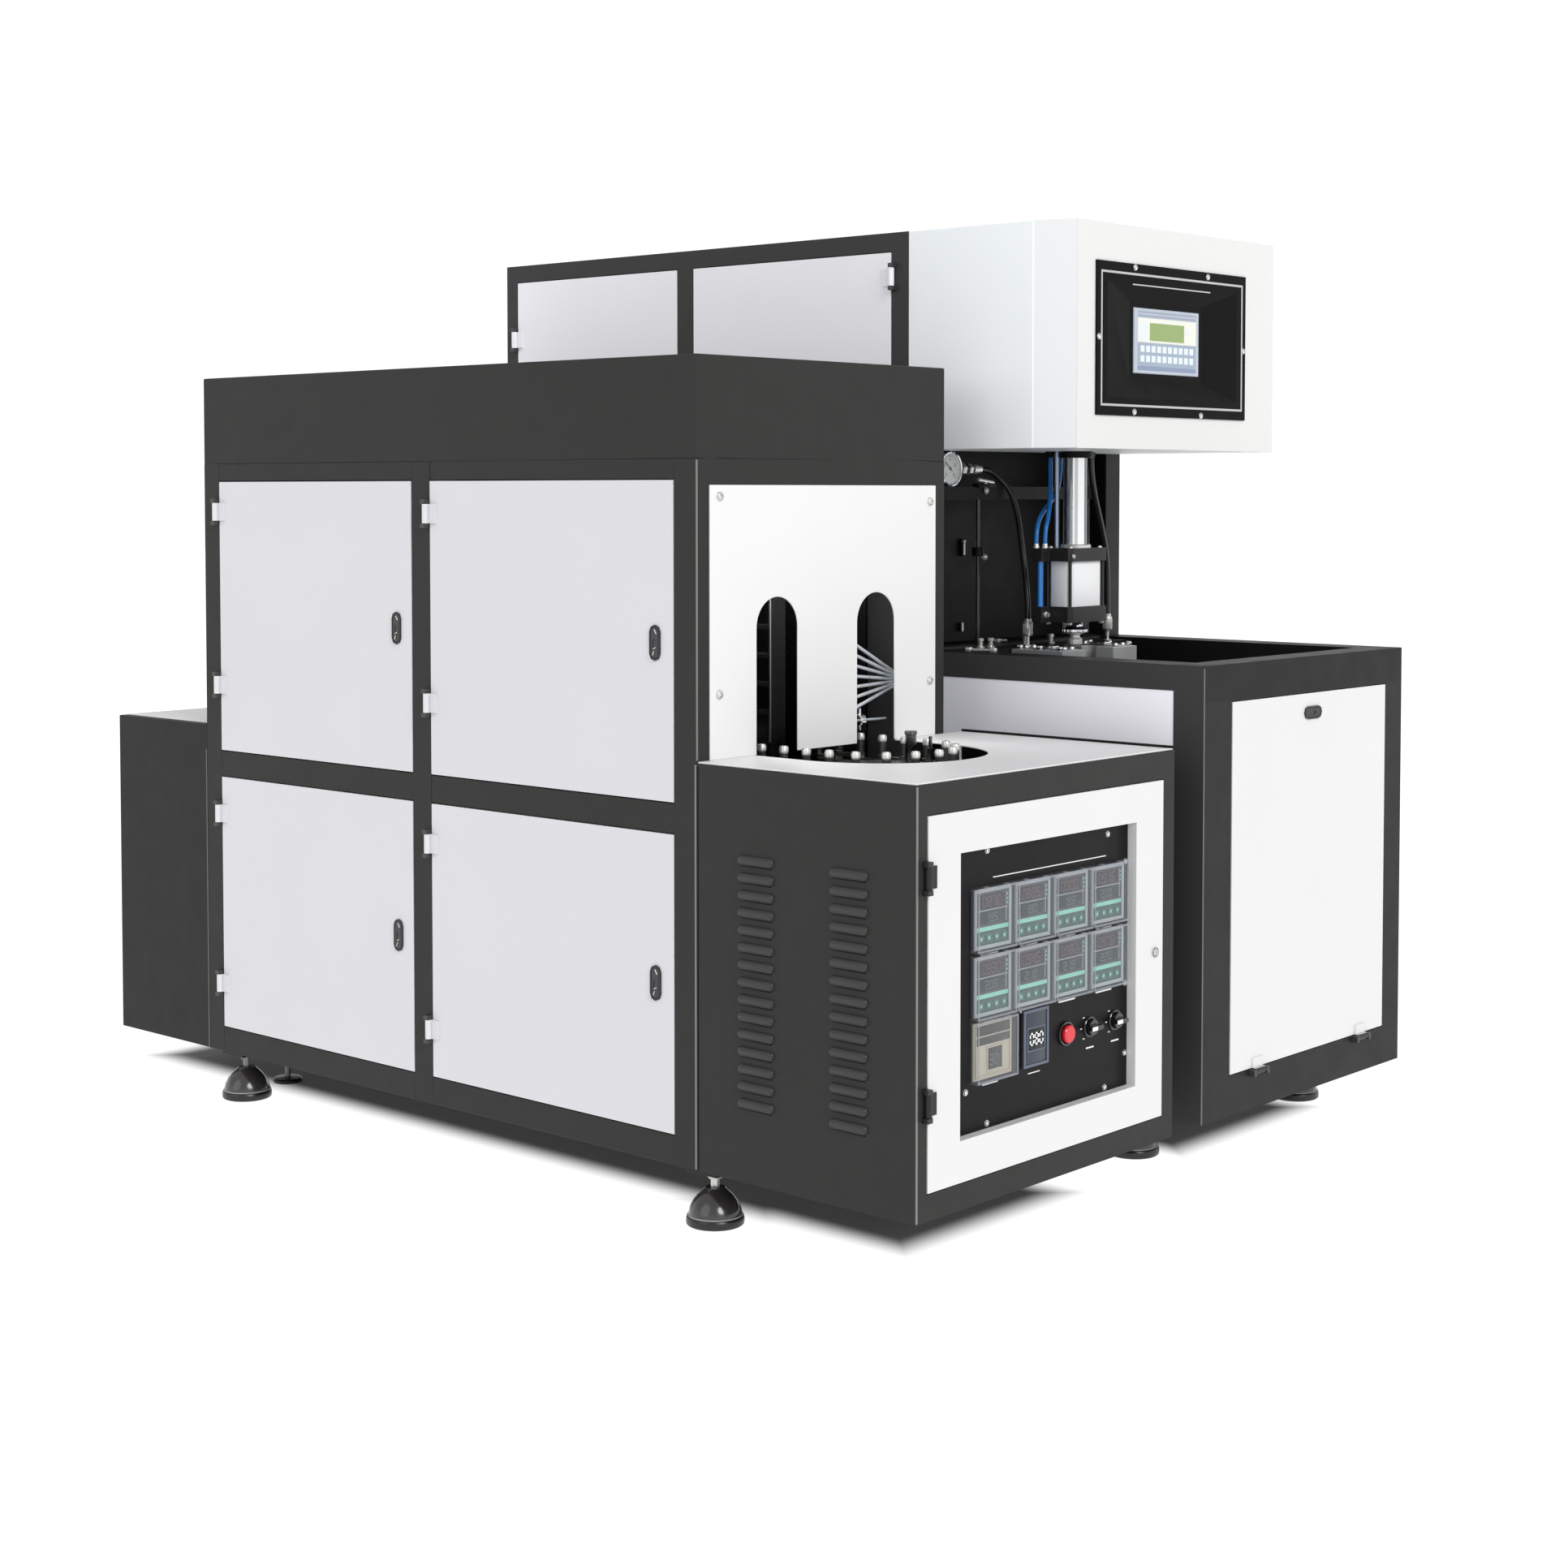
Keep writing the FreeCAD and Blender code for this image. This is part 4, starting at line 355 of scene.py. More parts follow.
class Shape:
    """Collects closed forms, in layout millimetres, into one mesh."""

    def __init__(self):
        self.bm = bmesh.new()

    def vert(self, x, y, z):
        return self.bm.verts.new(P(x, y, z))

    def ease(self, faces, width, among=()):
        """Rounds the faces' edges, or only those between the vertices given."""
        edges = dict.fromkeys(e for f in faces for e in f.edges)
        if among:
            edges = [e for e in edges if all(v in among for v in e.verts)]
        bmesh.ops.bevel(self.bm, geom=list(edges), offset=width * MM, segments=EASED,
                        affect="EDGES", profile=0.5)

    def box(self, x0, y0, z0, x1, y1, z1, soften=0.0):
        v = [self.vert(x, y, z) for x in (x0, x1) for y in (y0, y1) for z in (z0, z1)]
        faces = [self.bm.faces.new([v[i] for i in ring]) for ring in
                 ((0, 1, 3, 2), (4, 6, 7, 5), (0, 4, 5, 1), (2, 3, 7, 6), (0, 2, 6, 4),
                  (1, 5, 7, 3))]
        if soften:
            self.ease(faces, soften)
        return self

    def frame(self, x0, z0, x1, z1, width, y0, y1, soften=0.0):
        """A flat ring in a plane of constant y, with its front edges eased."""
        outer = [(x0, z0), (x1, z0), (x1, z1), (x0, z1)]
        inner = [(x0 + width, z0 + width), (x1 - width, z0 + width),
                 (x1 - width, z1 - width), (x0 + width, z1 - width)]
        front_outer, front_inner, back_outer, back_inner = (
            [self.vert(x, y, z) for x, z in ring] for y in (y0, y1) for ring in (outer, inner))
        faces = []
        for a, b in ((front_outer, front_inner), (front_inner, back_inner),
                     (back_inner, back_outer), (back_outer, front_outer)):
            for k in range(4):
                j = (k + 1) % 4
                faces.append(self.bm.faces.new([a[k], a[j], b[j], b[k]]))
        if soften:
            self.ease(faces, soften, front_outer + front_inner)
        return self

    def lathe(self, centre, axis, profile, sides=24):
        """A form turned about an axis: profile is (radius, distance along it) pairs."""
        axis = Vector(axis).normalized()
        u = axis.orthogonal().normalized()
        w = axis.cross(u)
        rings = []
        for radius, along in profile:
            base = Vector(centre) + axis * along
            turns = [2 * math.pi * k / sides for k in range(sides)] if radius else [0]
            rings.append([self.vert(*(base + (u * math.cos(a) + w * math.sin(a)) * radius))
                          for a in turns])
        for a, b in zip(rings, rings[1:]):
            for k in range(sides):
                j = (k + 1) % sides
                ring = list(dict.fromkeys((a[k % len(a)], a[j % len(a)], b[j % len(b)],
                                           b[k % len(b)])))
                if len(ring) > 2:
                    self.bm.faces.new(ring)
        for ring in (rings[0], rings[-1]):
            if len(ring) > 1:
                self.bm.faces.new(ring)
        return self

    def solid(self, centre, axis, profile, sides=24):
        """A turned form with flat ends that close on the axis."""
        return self.lathe(centre, axis, [(0, profile[0][1]), *profile, (0, profile[-1][1])],
                          sides)

    def pill(self, centre_y, centre_z, length, height, reach):
        """A long dome pressed out of the left side, with round ends."""
        round_end, straight = height / 2, (length - height) / 2
        rings = []
        for k in range(PILL_STEPS):
            lift = math.pi / 2 * k / PILL_STEPS
            spread, out = round_end * math.cos(lift), reach * math.sin(lift)
            ring = []
            for j in range(PILL_POINTS):
                a = 2 * math.pi * (j + 0.5) / PILL_POINTS
                side = straight if math.cos(a) > 0 else -straight
                ring.append(self.vert(0.2 - out, centre_y + side + spread * math.cos(a),
                                      centre_z + spread * math.sin(a)))
            rings.append(ring)
        for low, high in zip(rings, rings[1:]):
            for j in range(PILL_POINTS):
                i = (j + 1) % PILL_POINTS
                self.bm.faces.new([low[j], low[i], high[i], high[j]])
        self.bm.faces.new(rings[-1])
        self.bm.faces.new(rings[0][::-1])
        return self

    def bar(self, a, b, radius, sides=12):
        """A round bar with eased ends, between two points."""
        a, b = Vector(a), Vector(b)
        length = (b - a).length
        ease = radius / 4
        return self.solid(a, b - a, [(radius - ease, 0), (radius, ease),
                                     (radius, length - ease), (radius - ease, length)], sides)

    def screw(self, centre, axis, radius, height, sides=20):
        """A button-head screw with a socket, on a washer."""
        profile = ((0, 0), (1.15, 0), (1.15, 0.15), (1, 0.2), (1, 0.45), (0.92, 0.75),
                   (0.7, 0.95), (0.45, 1), (0.4, 0.5), (0, 0.45))
        return self.lathe(centre, axis, [(radius * r, height * h) for r, h in profile], sides)

    def nut(self, centre, axis, across, height):
        """A hexagon nut with turned corners."""
        narrow, wide = across * 0.52, across * 0.58
        return self.solid(centre, axis, [(narrow, 0), (wide, height * 0.15),
                                         (wide, height * 0.85), (narrow, height)], 6)

    def digits(self, x, z, text, width, height, y, thickness):
        """Seven-bar digits standing side by side in a plane of constant y."""
        bars = {"a": (0, 1, 1, 1), "g": (0, 0.5, 1, 0.5), "d": (0, 0, 1, 0), "f": (0, 0.5, 0, 1),
                "b": (1, 0.5, 1, 1), "e": (0, 0, 0, 0.5), "c": (1, 0, 1, 0.5)}
        lit_bars = {"0": "abcdef", "1": "bc", "2": "abged", "3": "abgcd", "4": "fgbc",
                    "5": "afgcd", "6": "afgedc", "7": "abc", "8": "abcdefg", "9": "abcdfg"}
        for k, figure in enumerate(text):
            left = x + k * width * 1.5
            for name in lit_bars[figure]:
                x0, z0, x1, z1 = bars[name]
                half = thickness / 2
                self.box(left + x0 * width - half, y - 0.15, z + z0 * height - half,
                         left + x1 * width + half, y, z + z1 * height + half)
        return self

    def done(self, name, finish, slot, body="machine"):
        """Makes the mesh a piece of the scene that rides on a CAD body."""
        bmesh.ops.recalc_face_normals(self.bm, faces=self.bm.faces)
        mesh = bpy.data.meshes.new(name)
        self.bm.to_mesh(mesh)
        self.bm.free()
        piece = bpy.data.objects.new(name, mesh)
        bpy.context.scene.collection.objects.link(piece)
        mesh.shade_smooth()
        mesh.set_sharp_from_angle(angle=math.radians(SHARP_ANGLE))
        mesh.materials.append(M[finish])
        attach(piece, body)
        return piece


def soften_node(piece, width):
    """Rounds the edges of a carried-over node by modifiers only."""
    weld = piece.modifiers.new("Weld", "WELD")
    weld.merge_threshold = 1e-5
    bevel = piece.modifiers.new("Bevel", "BEVEL")
    bevel.width = width * MM
    bevel.segments = 3
    bevel.limit_method = "ANGLE"
    bevel.angle_limit = math.radians(30)
    bevel.harden_normals = True
    bevel.use_clamp_overlap = True


# ---- carried-over nodes
# Each finish, with the nodes that have it and the width of their rounded edges; 0 leaves them.
OVEN_BAYS = ("upper_front", "lower_front", "upper_rear", "lower_rear")
for finish, widths in (
        ("dark_powder_coat", dict(heater_frame=2.5, unit_ties=2.0, oven_hood=2.5,
                                  rear_housing=2.0, control_housing=1.2)),
        ("station_powder_coat", dict(blower_frame=2.5)),
        ("arch_powder_coat", dict(arch_panel=1.0, control_deck=1.2)),
        ("white_powder_coat", dict(table_panel=1.0)),
        ("side_powder_coat", dict(fixed_side_panels=1.0)),
        ("lid_powder_coat", dict(rear_housing_lid=1.2)),
        ("door_powder_coat", dict.fromkeys(["oven_door_" + k for k in OVEN_BAYS], 1.2)),
        ("cabinet_door_powder_coat", dict(cabinet_door_front=1.0, cabinet_door_rear=1.0)),
        ("head_powder_coat", dict(head_housing=2.5)),
        ("door_white_with_black_hinges", dict(control_door=1.2)),
        ("hinge_finish", dict(hinge_pins=0.5)),
        ("chain_steel", dict(conveyor_chain=0, chain_sprockets=0)),
        ("motor_paint", dict(drive_motor=0)),
        ("mirror_aluminium", dict(lamp_reflectors=0)),
        ("quartz_tube", dict(quartz_lamps=0)),
        ("black_moulding", dict.fromkeys(["latch_housing_" + k for k in OVEN_BAYS], 0.8)),
        ("latch_moulding", dict.fromkeys(["latch_paddle_" + k for k in OVEN_BAYS], 0.8)),
        ("black_moulding", dict(latch_housing_table=0.8, latch_paddle_table=0.8,
                                pressure_gauge=0)),
        ("black_enamel", dict(instrument_panel=0, clamp_rails=0)),
        ("instrument_moulding", dict(panel_instruments=0.5)),
        ("beige_moulding", dict(counter_timer=1.0)),
        ("clear_cover", dict(instrument_covers=0)),
        ("red_moulding", dict(start_button=0.8)),
        ("gloss_black", dict(selector_knob_left=1.0, selector_knob_right=1.0)),
        ("bright_chrome", dict(door_lock=0)),
        ("bezel_black", dict(hmi_bezel=1.0)),
        ("screen_frame", dict(touch_screen=0.5)),
        ("column_reflection_bands", dict(blow_column=0)),
        ("flange_black", dict(cylinder_flanges=1.0)),
        ("brushed_barrel", dict(cylinder_body=1.5)),
        ("blue_tubing", dict(air_tube=0)),
        ("mould_frame", dict(mould_left=1.2, mould_right=1.2)),
        ("zinc_plate", dict(blow_nozzle=0, air_fittings=0)),
        ("stem_plate", dict(foot_stems=0.6)),
        ("foot_rubber", dict(foot_pads=3.0))):
    for name, width in widths.items():
        nodes[name].data.materials.clear()
        nodes[name].data.materials.append(M[finish])
        if width:
            soften_node(nodes[name], width)

# ---- instruments
KEY_PITCH, LAMP_DOT_PITCH = 20, 7
DOOR = "control_door"
labels = Shape()


def plate(shape, centre, x0, z0, x1, z1, proud, sunk=0.3, soften=0.3):
    """A plate on an instrument's face, by its corners' offsets from the centre."""
    x, z = centre
    return shape.box(x + x0, CASE_FACE - proud, z + z0, x + x1, CASE_FACE + sunk, z + z1, soften)


def rim(shape, centre, x0, z0, x1, z1, width, proud, sunk=0.3, soften=0.4):
    """A raised rim on an instrument's face, placed as a plate is."""
    x, z = centre
    return shape.frame(x + x0, z + z0, x + x1, z + z1, width, CASE_FACE - proud,
                       CASE_FACE + sunk, soften)


def mark(centre, x0, z0, x1, z1):
    """A bare bar of print on the instrument panel."""
    x, z = centre
    labels.box(x + x0, INSTRUMENT_FACE - 0.3, z + z0, x + x1, INSTRUMENT_FACE + 0.1, z + z1)


def screws(places, y, radius, height, name, finish, slot, body="machine", sides=20):
    shape = Shape()
    for x, z in places:
        shape.screw((x, y, z), FORWARD, radius, height, sides)
    shape.done(name, finish, slot, body)


rims, maroon, green, field, stripes, keys, rules, red_digits, green_digits = (
    Shape() for _ in range(9))
half = CONTROLLER_SIZE / 2
for count, centre in enumerate(CONTROLLERS):
    rim(rims, centre, -half, -half, half, half, 6, 1.6, 0.5, 0.5)
    plate(maroon, centre, -34, 15, 31, 38, 0.5)
    plate(green, centre, -34, -9, 31, 11, 0.5)
    plate(field, centre, -41, -42, 41, -21, 0.4, soften=0.2)
    plate(stripes, centre, -41, -20, 41, -13, 0.7)
    plate(rules, centre, -40, 12.4, 40, 13.6, 0.6, soften=0)
    plate(rules, centre, 35.2, -10, 36.4, 38, 0.6, soften=0)
    for x in range(-36, -36 + 4 * KEY_PITCH, KEY_PITCH):
        plate(keys, centre, x, -37, x + 11, -26, 1.4, 0.2, 0.6)
        plate(stripes, centre, x + 3, -34, x + 8, -29, 1.7, 0.2, 0.6)
    for z in range(18, 18 + 3 * LAMP_DOT_PITCH, LAMP_DOT_PITCH):
        plate(stripes, centre, 37.5, z, 40, z + 2.5, 0.6, 0.2, 0)
    cx, cz = centre
    red_digits.digits(cx - 26, cz + 19, "{:04d}".format(870 + 15 * count), 8.5, 15,
                      CASE_FACE - 0.5, 1.7)
    green_digits.digits(cx - 18, cz - 5.5, "{:03d}".format(185 + 5 * count), 7.5, 12,
                        CASE_FACE - 0.5, 1.5)
    mark(centre, -26, -59.5, 20, -57)
for shape, name, finish in (
        (rims, "controller_frames", "instrument_frame"),
        (maroon, "controller_upper_windows", "window_maroon"),
        (green, "controller_lower_windows", "window_green"),
        (field, "controller_key_fields", "key_field_green"),
        (stripes, "controller_stripes", "key_mint"),
        (keys, "controller_keys", "key_green"),
        (rules, "controller_rules", "instrument_frame"),
        (red_digits, "controller_upper_digits", "digit_red"),
        (green_digits, "controller_lower_digits", "digit_green")):
    shape.done(name, finish, "black_plastic", DOOR)

cx, cz = TIMER
window = plate(Shape(), TIMER, -43, 9, 43, 40, 0.6, soften=0.4)
plate(window, TIMER, -14, -32, 22, 2, 0.6, soften=0.4)
window.done("timer_windows", "brown_window", "beige_plastic", DOOR)
trim = rim(Shape(), TIMER, -46, -42, 46, 43, 2.5, 1.5)
rim(trim, TIMER, -17, -35, 25, 5, 2.5, 1.8)
plate(trim, TIMER, -44, 22, 44, 24, 1.2, 0.2)
trim.done("timer_trim", "beige_moulding", "beige_plastic", DOOR)
figures = Shape().digits(cx - 8, cz - 25, "30", 8, 16, CASE_FACE - 0.6, 1.6)
figures.done("timer_digits", "digit_green", "beige_plastic", DOOR)
mark(TIMER, -22, -57, 18, -55.4)

cx, cz = MODULE
case = rim(Shape(), MODULE, -34, -47, 34, 47, 5, 1.5, soften=0.6)
rim(case, MODULE, -24, -22, 24, 18, 2.5, 1.2)
case.done("module_frame", "module_blue", "black_plastic", DOOR)
face = plate(Shape(), MODULE, -30, -43, 30, 43, 0.3, soften=0.2)
face.done("module_face", "module_face", "black_plastic", DOOR)
window = plate(Shape(), MODULE, -21.5, -19.5, 21.5, 15.5, 0.6)
window.done("module_window", "window_green", "black_plastic", DOOR)
figures = Shape().digits(cx - 16, cz - 11, "080", 8.5, 18, CASE_FACE - 0.7, 3.0)
figures.done("module_digits", "print_white", "black_plastic", DOOR)
mark(MODULE, -16, -59, 16, -57.4)
mark((370, 604.8), -156, -0.8, 156, 0.8)

# The button's and the knobs' collars, with the plain position marks round the knobs.
collar = Shape().lathe((BUTTON[0], INSTRUMENT_FACE, BUTTON[1]), FORWARD,
                       [(16.2, 0), (21, 0), (21, 3), (20, 4.5), (17, 4.5), (16.2, 3.6),
                        (16.2, 0)], 40)
collar.done("button_collar", "gloss_black", "black_plastic", DOOR)
collars = Shape()
for centre in KNOBS.values():
    collars.lathe((centre[0], INSTRUMENT_FACE, centre[1]), FORWARD,
                  [(13.6, 0), (18, 0), (18, 1.8), (16.8, 3), (14.6, 3), (13.6, 2.2),
                   (13.6, 0)], 36)
    for angle in (-45, 0, 45):
        a = math.radians(angle)
        x, z = -25 * math.cos(a), 25 * math.sin(a)
        mark(centre, x - 2.5, z - 0.8, x + 2.5, z + 0.8)
    mark(centre, -11, -36, 11, -33.6)
collars.done("knob_collars", "gloss_black", "black_plastic", DOOR)
labels.done("panel_marks", "print_white", "black_metal", DOOR)
for side, (x, z) in KNOBS.items():
    pointer = Shape().box(x - 16.6, -1.2, z - 3.4, x - 1, 0.2, z + 3.4, 0.6)
    pointer.done("knob_pointer_" + side, "print_white", "black_plastic",
                 "selector_knob_" + side)

# The lock's rim and its slotted face.
ring = Shape().lathe(LOCK, FORWARD, [(5.6, 0), (8.5, 0), (8.5, 0.8), (7.8, 1.4), (6.2, 1.4),
                                     (5.6, 0.8), (5.6, 0)], 32)
ring.done("lock_rim", "chain_steel", "chrome", "door_lock")
face = Shape().lathe(LOCK, FORWARD, [(0, 0), (5.6, 0), (5.4, 0.5), (0, 0.7)])
face.box(646.2, -4.3, 422.5, 647.8, -3.4, 431.5, 0.2)
face.done("lock_face", "gloss_black", "chrome", "door_lock")

screws(((198, 649), (531, 641), (584, 589), (584, 381), (584, 261), (525, 212), (199, 213),
        (144, 272), (118, 640), (118, 430)), INSTRUMENT_FACE, 4.6, 3.2, "panel_screws",
       "bright_chrome", "chrome", DOOR)

# Milky rims on the clear covers, where the moulding turns, and their snap pips.
covers = Shape()
for x, z, width, height in [(*centre, CONTROLLER_SIZE, CONTROLLER_SIZE)
                            for centre in CONTROLLERS] + [(*TIMER, 100, 92)]:
    top = z + height / 2 + 3.2
    covers.frame(x - width / 2 - 3.2, z - height / 2 - 3.2, x + width / 2 + 3.2, top, 3.6, 1.4,
                 2.3, 0.3)
    for pip in (x - 26, x + 26):
        covers.box(pip - 5, 3.0, top, pip + 5, 8.0, top + 1.4, 0.5)
covers.done("cover_rims", "cover_edge", "clear_plastic", DOOR)

# ---- operator screen
BEZEL_FACE, SCREEN_FACE = 291, 300
SCREEN_LEFT, SCREEN_RIGHT, SCREEN_LOW, SCREEN_TOP = 1021, 1244, 1440, 1564
trim = Shape().frame(898, 1375.5, 1388, 1626.5, 4.2, BEZEL_FACE - 0.6, BEZEL_FACE + 0.2, 0.2)
trim.box(1001, BEZEL_FACE - 0.5, 1604, 1269, BEZEL_FACE + 0.1, 1606.4)
trim.done("bezel_inset_line", "print_grey", "black_plastic")
screws(((1009, 1637), (1260, 1635), (892, 1503), (1391, 1496), (1008, 1366), (1238, 1364)),
       BEZEL_FACE, 5.2, 3.4, "bezel_screws", "bright_chrome", "chrome")

# Plates on the screen, by fractions of it from its upper left corner.
buttons = [(0.09 + 0.084 * k, v, 0.15 + 0.084 * k, v + 0.1)
           for k in range(10) for v in (0.57, 0.72)]
for name, finish, thick, spans in (
        ("screen_top_bar", "screen_bar", 0.35, [(0.05, 0.045, 0.95, 0.075),
                                                (0.05, 0.1, 0.95, 0.135)]),
        ("screen_cream_band", "screen_cream", 0.35, [(0.05, 0.15, 0.95, 0.52)]),
        ("screen_chart", "screen_olive", 0.6, [(0.23, 0.22, 0.76, 0.49)]),
        ("screen_key_band", "screen_blue", 0.35, [(0.05, 0.53, 0.95, 0.88)]),
        ("screen_foot_bar", "screen_deep_blue", 0.35, [(0.05, 0.885, 0.95, 0.95)]),
        ("screen_keys", "screen_keys", 0.6, [*buttons, (0.79, 0.27, 0.86, 0.36),
                                             (0.07, 0.2, 0.19, 0.5)])):
    plates = Shape()
    across, up = SCREEN_RIGHT - SCREEN_LEFT, SCREEN_TOP - SCREEN_LOW
    for u0, v0, u1, v1 in spans:
        plates.box(SCREEN_LEFT + across * u0, SCREEN_FACE - thick, SCREEN_TOP - up * v1,
                   SCREEN_LEFT + across * u1, SCREEN_FACE + 0.1, SCREEN_TOP - up * v0)
    plates.done(name, finish, "screen")

# ---- arch panel, lamps, chain
arch_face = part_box("arch_panel")[0][1] / MM + LAYOUT_ORIGIN.y
screws(((53, 1208), (606, 1198), (51, 881), (606, 873)), arch_face, 7, 5, "arch_panel_screws",
       "zinc_plate", "steel", sides=28)

# The lamps' leads run from a strip of terminals to a gland behind the right gateway.
LEADS, LEAD_PITCH, LOWEST_LEAD = 7, 31, 800
GLAND = Vector((560, 500, 876))
leads, lugs, strip = Shape(), Shape(), Shape()
strip.box(370, 528, 785, 386, 539, 995, 1.0)
strip.box(260, 538, 780, 263.2, 541.5, 1040, 0.4)
for k in range(LEADS):
    z = LOWEST_LEAD + k * LEAD_PITCH
    start, end = Vector((386, 526, z)), GLAND + Vector((0, 0, (k - LEADS // 2) * 3))
    strip.box(366, 524, z - 9, 388, 540, z + 9, 1.5)
    leads.bar(start, end, 3.1)
    lugs.nut((388, 526, z), (1, -0.1, 0), 9, 5)
    lugs.solid((392, 525.3, z), end - start, [(4.2, 0), (4.6, 2), (4.6, 16), (3.4, 19)], 12)
leads.bar(GLAND, (600, 491, 876), 8.5, 14)
leads.bar((388, 526, 806), (535, 505, 806), 2.4)
lugs.solid((466, 515, 806), (1, -0.14, 0), [(11, 0), (12.5, 2), (12.5, 12), (11, 14)])
lugs.bar((472, 514, 788), (472, 514, 828), 3.4, 14)
lugs.solid((548, 502, 876), (1, -0.2, 0), [(9.5, 0), (11, 2), (11, 12), (9.5, 14)], 20)
lugs.box(592, 484, 862, 604, 500, 890, 2.0)
strip.done("lamp_terminal_strip", "milled_aluminium", "polished_aluminium")
leads.done("lamp_leads", "lead_wire", "steel")
lugs.done("lamp_lead_lugs", "bright_chrome", "steel")

# A turned cap on the spindle at every joint of the chain.
radius = CHAIN_PITCH / (2 * math.sin(math.pi / SPROCKET_TEETH))
joints = []
for k in range(STRAIGHT_JOINTS):
    joints.append((LANE_CENTRE - radius, REAR_TURN_Y - k * CHAIN_PITCH))
    joints.append((LANE_CENTRE + radius, TURN_Y + k * CHAIN_PITCH))
for k in range(SPROCKET_TEETH // 2):
    a = 2 * math.pi * k / SPROCKET_TEETH
    joints.append((LANE_CENTRE - radius * math.cos(a), TURN_Y - radius * math.sin(a)))
    joints.append((LANE_CENTRE + radius * math.cos(a), REAR_TURN_Y + radius * math.sin(a)))
caps = Shape()
for joint in joints:
    caps.lathe((*joint, LINK_TOP), UP, [(0, 0), (8.6, 0), (8.6, 3), (7, 4), (7, 26), (8, 27),
                                        (8, 34), (6.6, 37.4), (3, 38.2), (0, 38.4)], 16)
caps.done("spindle_caps", "spindle_plate", "steel")
turn = Shape().solid((LANE_CENTRE + 85, TURN_Y, LINK_TOP), UP,
                     [(9.6, 0), (9.6, 48), (11, 49), (11, 53), (9, 55)], 28)
turn.lathe((408, 300, 745.8), UP, [(0, 0), (5, 0), (5, 30), (3.2, 31), (3.2, 50), (0, 51)], 16)
edge = Shape().box(703.2, 2, 772.8, 706.9, 463, 777.4, 0.5)
edge.done("deck_edge_trim", "black_enamel", "black_metal")
turn.done("turning_pin_caps", "dark_chrome", "steel")

# ---- blow station
# The gauge's rim, dial, marks, needle and glass.
gx, gy, gz = 945, 679, 1261.5
DIAL_STEPS, DIAL_START, DIAL_SWEEP = 20, -45, 270
case = Shape().lathe((gx, gy + 3, gz), FORWARD,
                     [(30.5, 0), (35.5, 0), (35.9, 2), (35.2, 4.2), (33, 5), (31, 4.2),
                      (30.5, 2), (30.5, 0)], 48)
case.done("gauge_rim", "bright_chrome", "chrome")
dial = Shape().solid((gx, gy + 3.2, gz), FORWARD, [(31, 0), (31, 0.6)], 48)
dial.done("gauge_dial", "dial_white", "gauge_case")
marks = Shape()
for k in range(DIAL_STEPS + 1):
    a = math.radians(DIAL_START + DIAL_SWEEP * k / DIAL_STEPS)
    size = 2.6 if k % 5 else 5.0
    inner, outer = ((gx + r * math.cos(a), gy + 2.4, gz + r * math.sin(a))
                    for r in (27 - size, 27))
    marks.bar(inner, outer, 0.55, 6)
for k in range(5):
    a = math.radians(DIAL_START + DIAL_SWEEP * (1 - k / 4))
    marks.digits(gx + 17 * math.cos(a) - 1.5, gz + 17 * math.sin(a) - 2.5, str(2 * k), 3.2, 5.2,
                 gy + 2.6, 0.8)
marks.bar((gx + 6, gy + 2, gz - 5), (gx - 17, gy + 2, gz + 14), 0.9, 8)
marks.lathe((gx, gy + 2.8, gz), FORWARD, [(0, 0), (3.4, 0), (3.0, 1.6), (0, 2)], 16)
marks.done("gauge_marks", "black_enamel", "gauge_case")
glass = Shape().lathe((gx, gy + 1.2, gz), FORWARD, [(0, 0), (31, 0), (31, 0.8), (26, 1.6),
                                                    (0, 2.4)], 40)
glass.done("gauge_glass", "dial_glass", "clear_plastic")

# The gauge's pipe with its bracket.
PIPE_Y, PIPE_Z = 700.5, 1261.5
bits, blacks = Shape(), Shape()
bits.nut((1000, PIPE_Y, PIPE_Z), RIGHT, 22, 12)
bits.solid((1040, PIPE_Y, PIPE_Z), RIGHT, [(9.5, 0), (10.5, 1), (10.5, 14), (9, 16), (9, 24)],
           20)
bits.nut((1024, PIPE_Y, PIPE_Z), RIGHT, 20, 10)
bits.bar((1046, 690, 1240), (1096, 690, 1234), 4.5, 14)
bits.bar((1070, 690, 1240), (1070, 690, 1214), 3.5)
bits.screw((1070, 688, 1218), FORWARD, 5.5, 5)
blacks.box(1040, 684, 1224, 1100, 700, 1232, 1.5)
# Clamp on the upright rod, and two slim catches on the recess's back.
blacks.solid((1051.5, 694, 1086), UP, [(11, 0), (12, 1), (12, 17), (11, 18)], 20)
bits.bar((1051.5, 694, 1092), (1070, 694, 1084), 3.4)
bits.screw((1070, 692, 1084), FORWARD, 5.4, 6)
blacks.box(1101, 773, 1084, 1109, 780, 1120, 2)
bits.bar((1105, 771, 1086), (1105, 771, 1116), 2.6)
bits.nut((1105, 771.5, 1112), UP, 8, 5)
blacks.box(1096, 773, 930, 1104, 780, 948, 2)
bits.bar((1100, 771, 930), (1100, 771, 948), 2.8)
# Sockets of three hoses in the head's underside.
RETURN_TOP, BLUE_SUPPLY_TOP, BLUE_RETURN_TOP = (
    (1298, 592, HEAD_UNDERSIDE), (1178, 582, HEAD_UNDERSIDE), (1140, 580, HEAD_UNDERSIDE))
for top in (RETURN_TOP, BLUE_SUPPLY_TOP, BLUE_RETURN_TOP):
    blacks.solid(top, DOWN, [(9.5, 0), (9.5, 5), (7.6, 6), (7.6, 12)], 20)
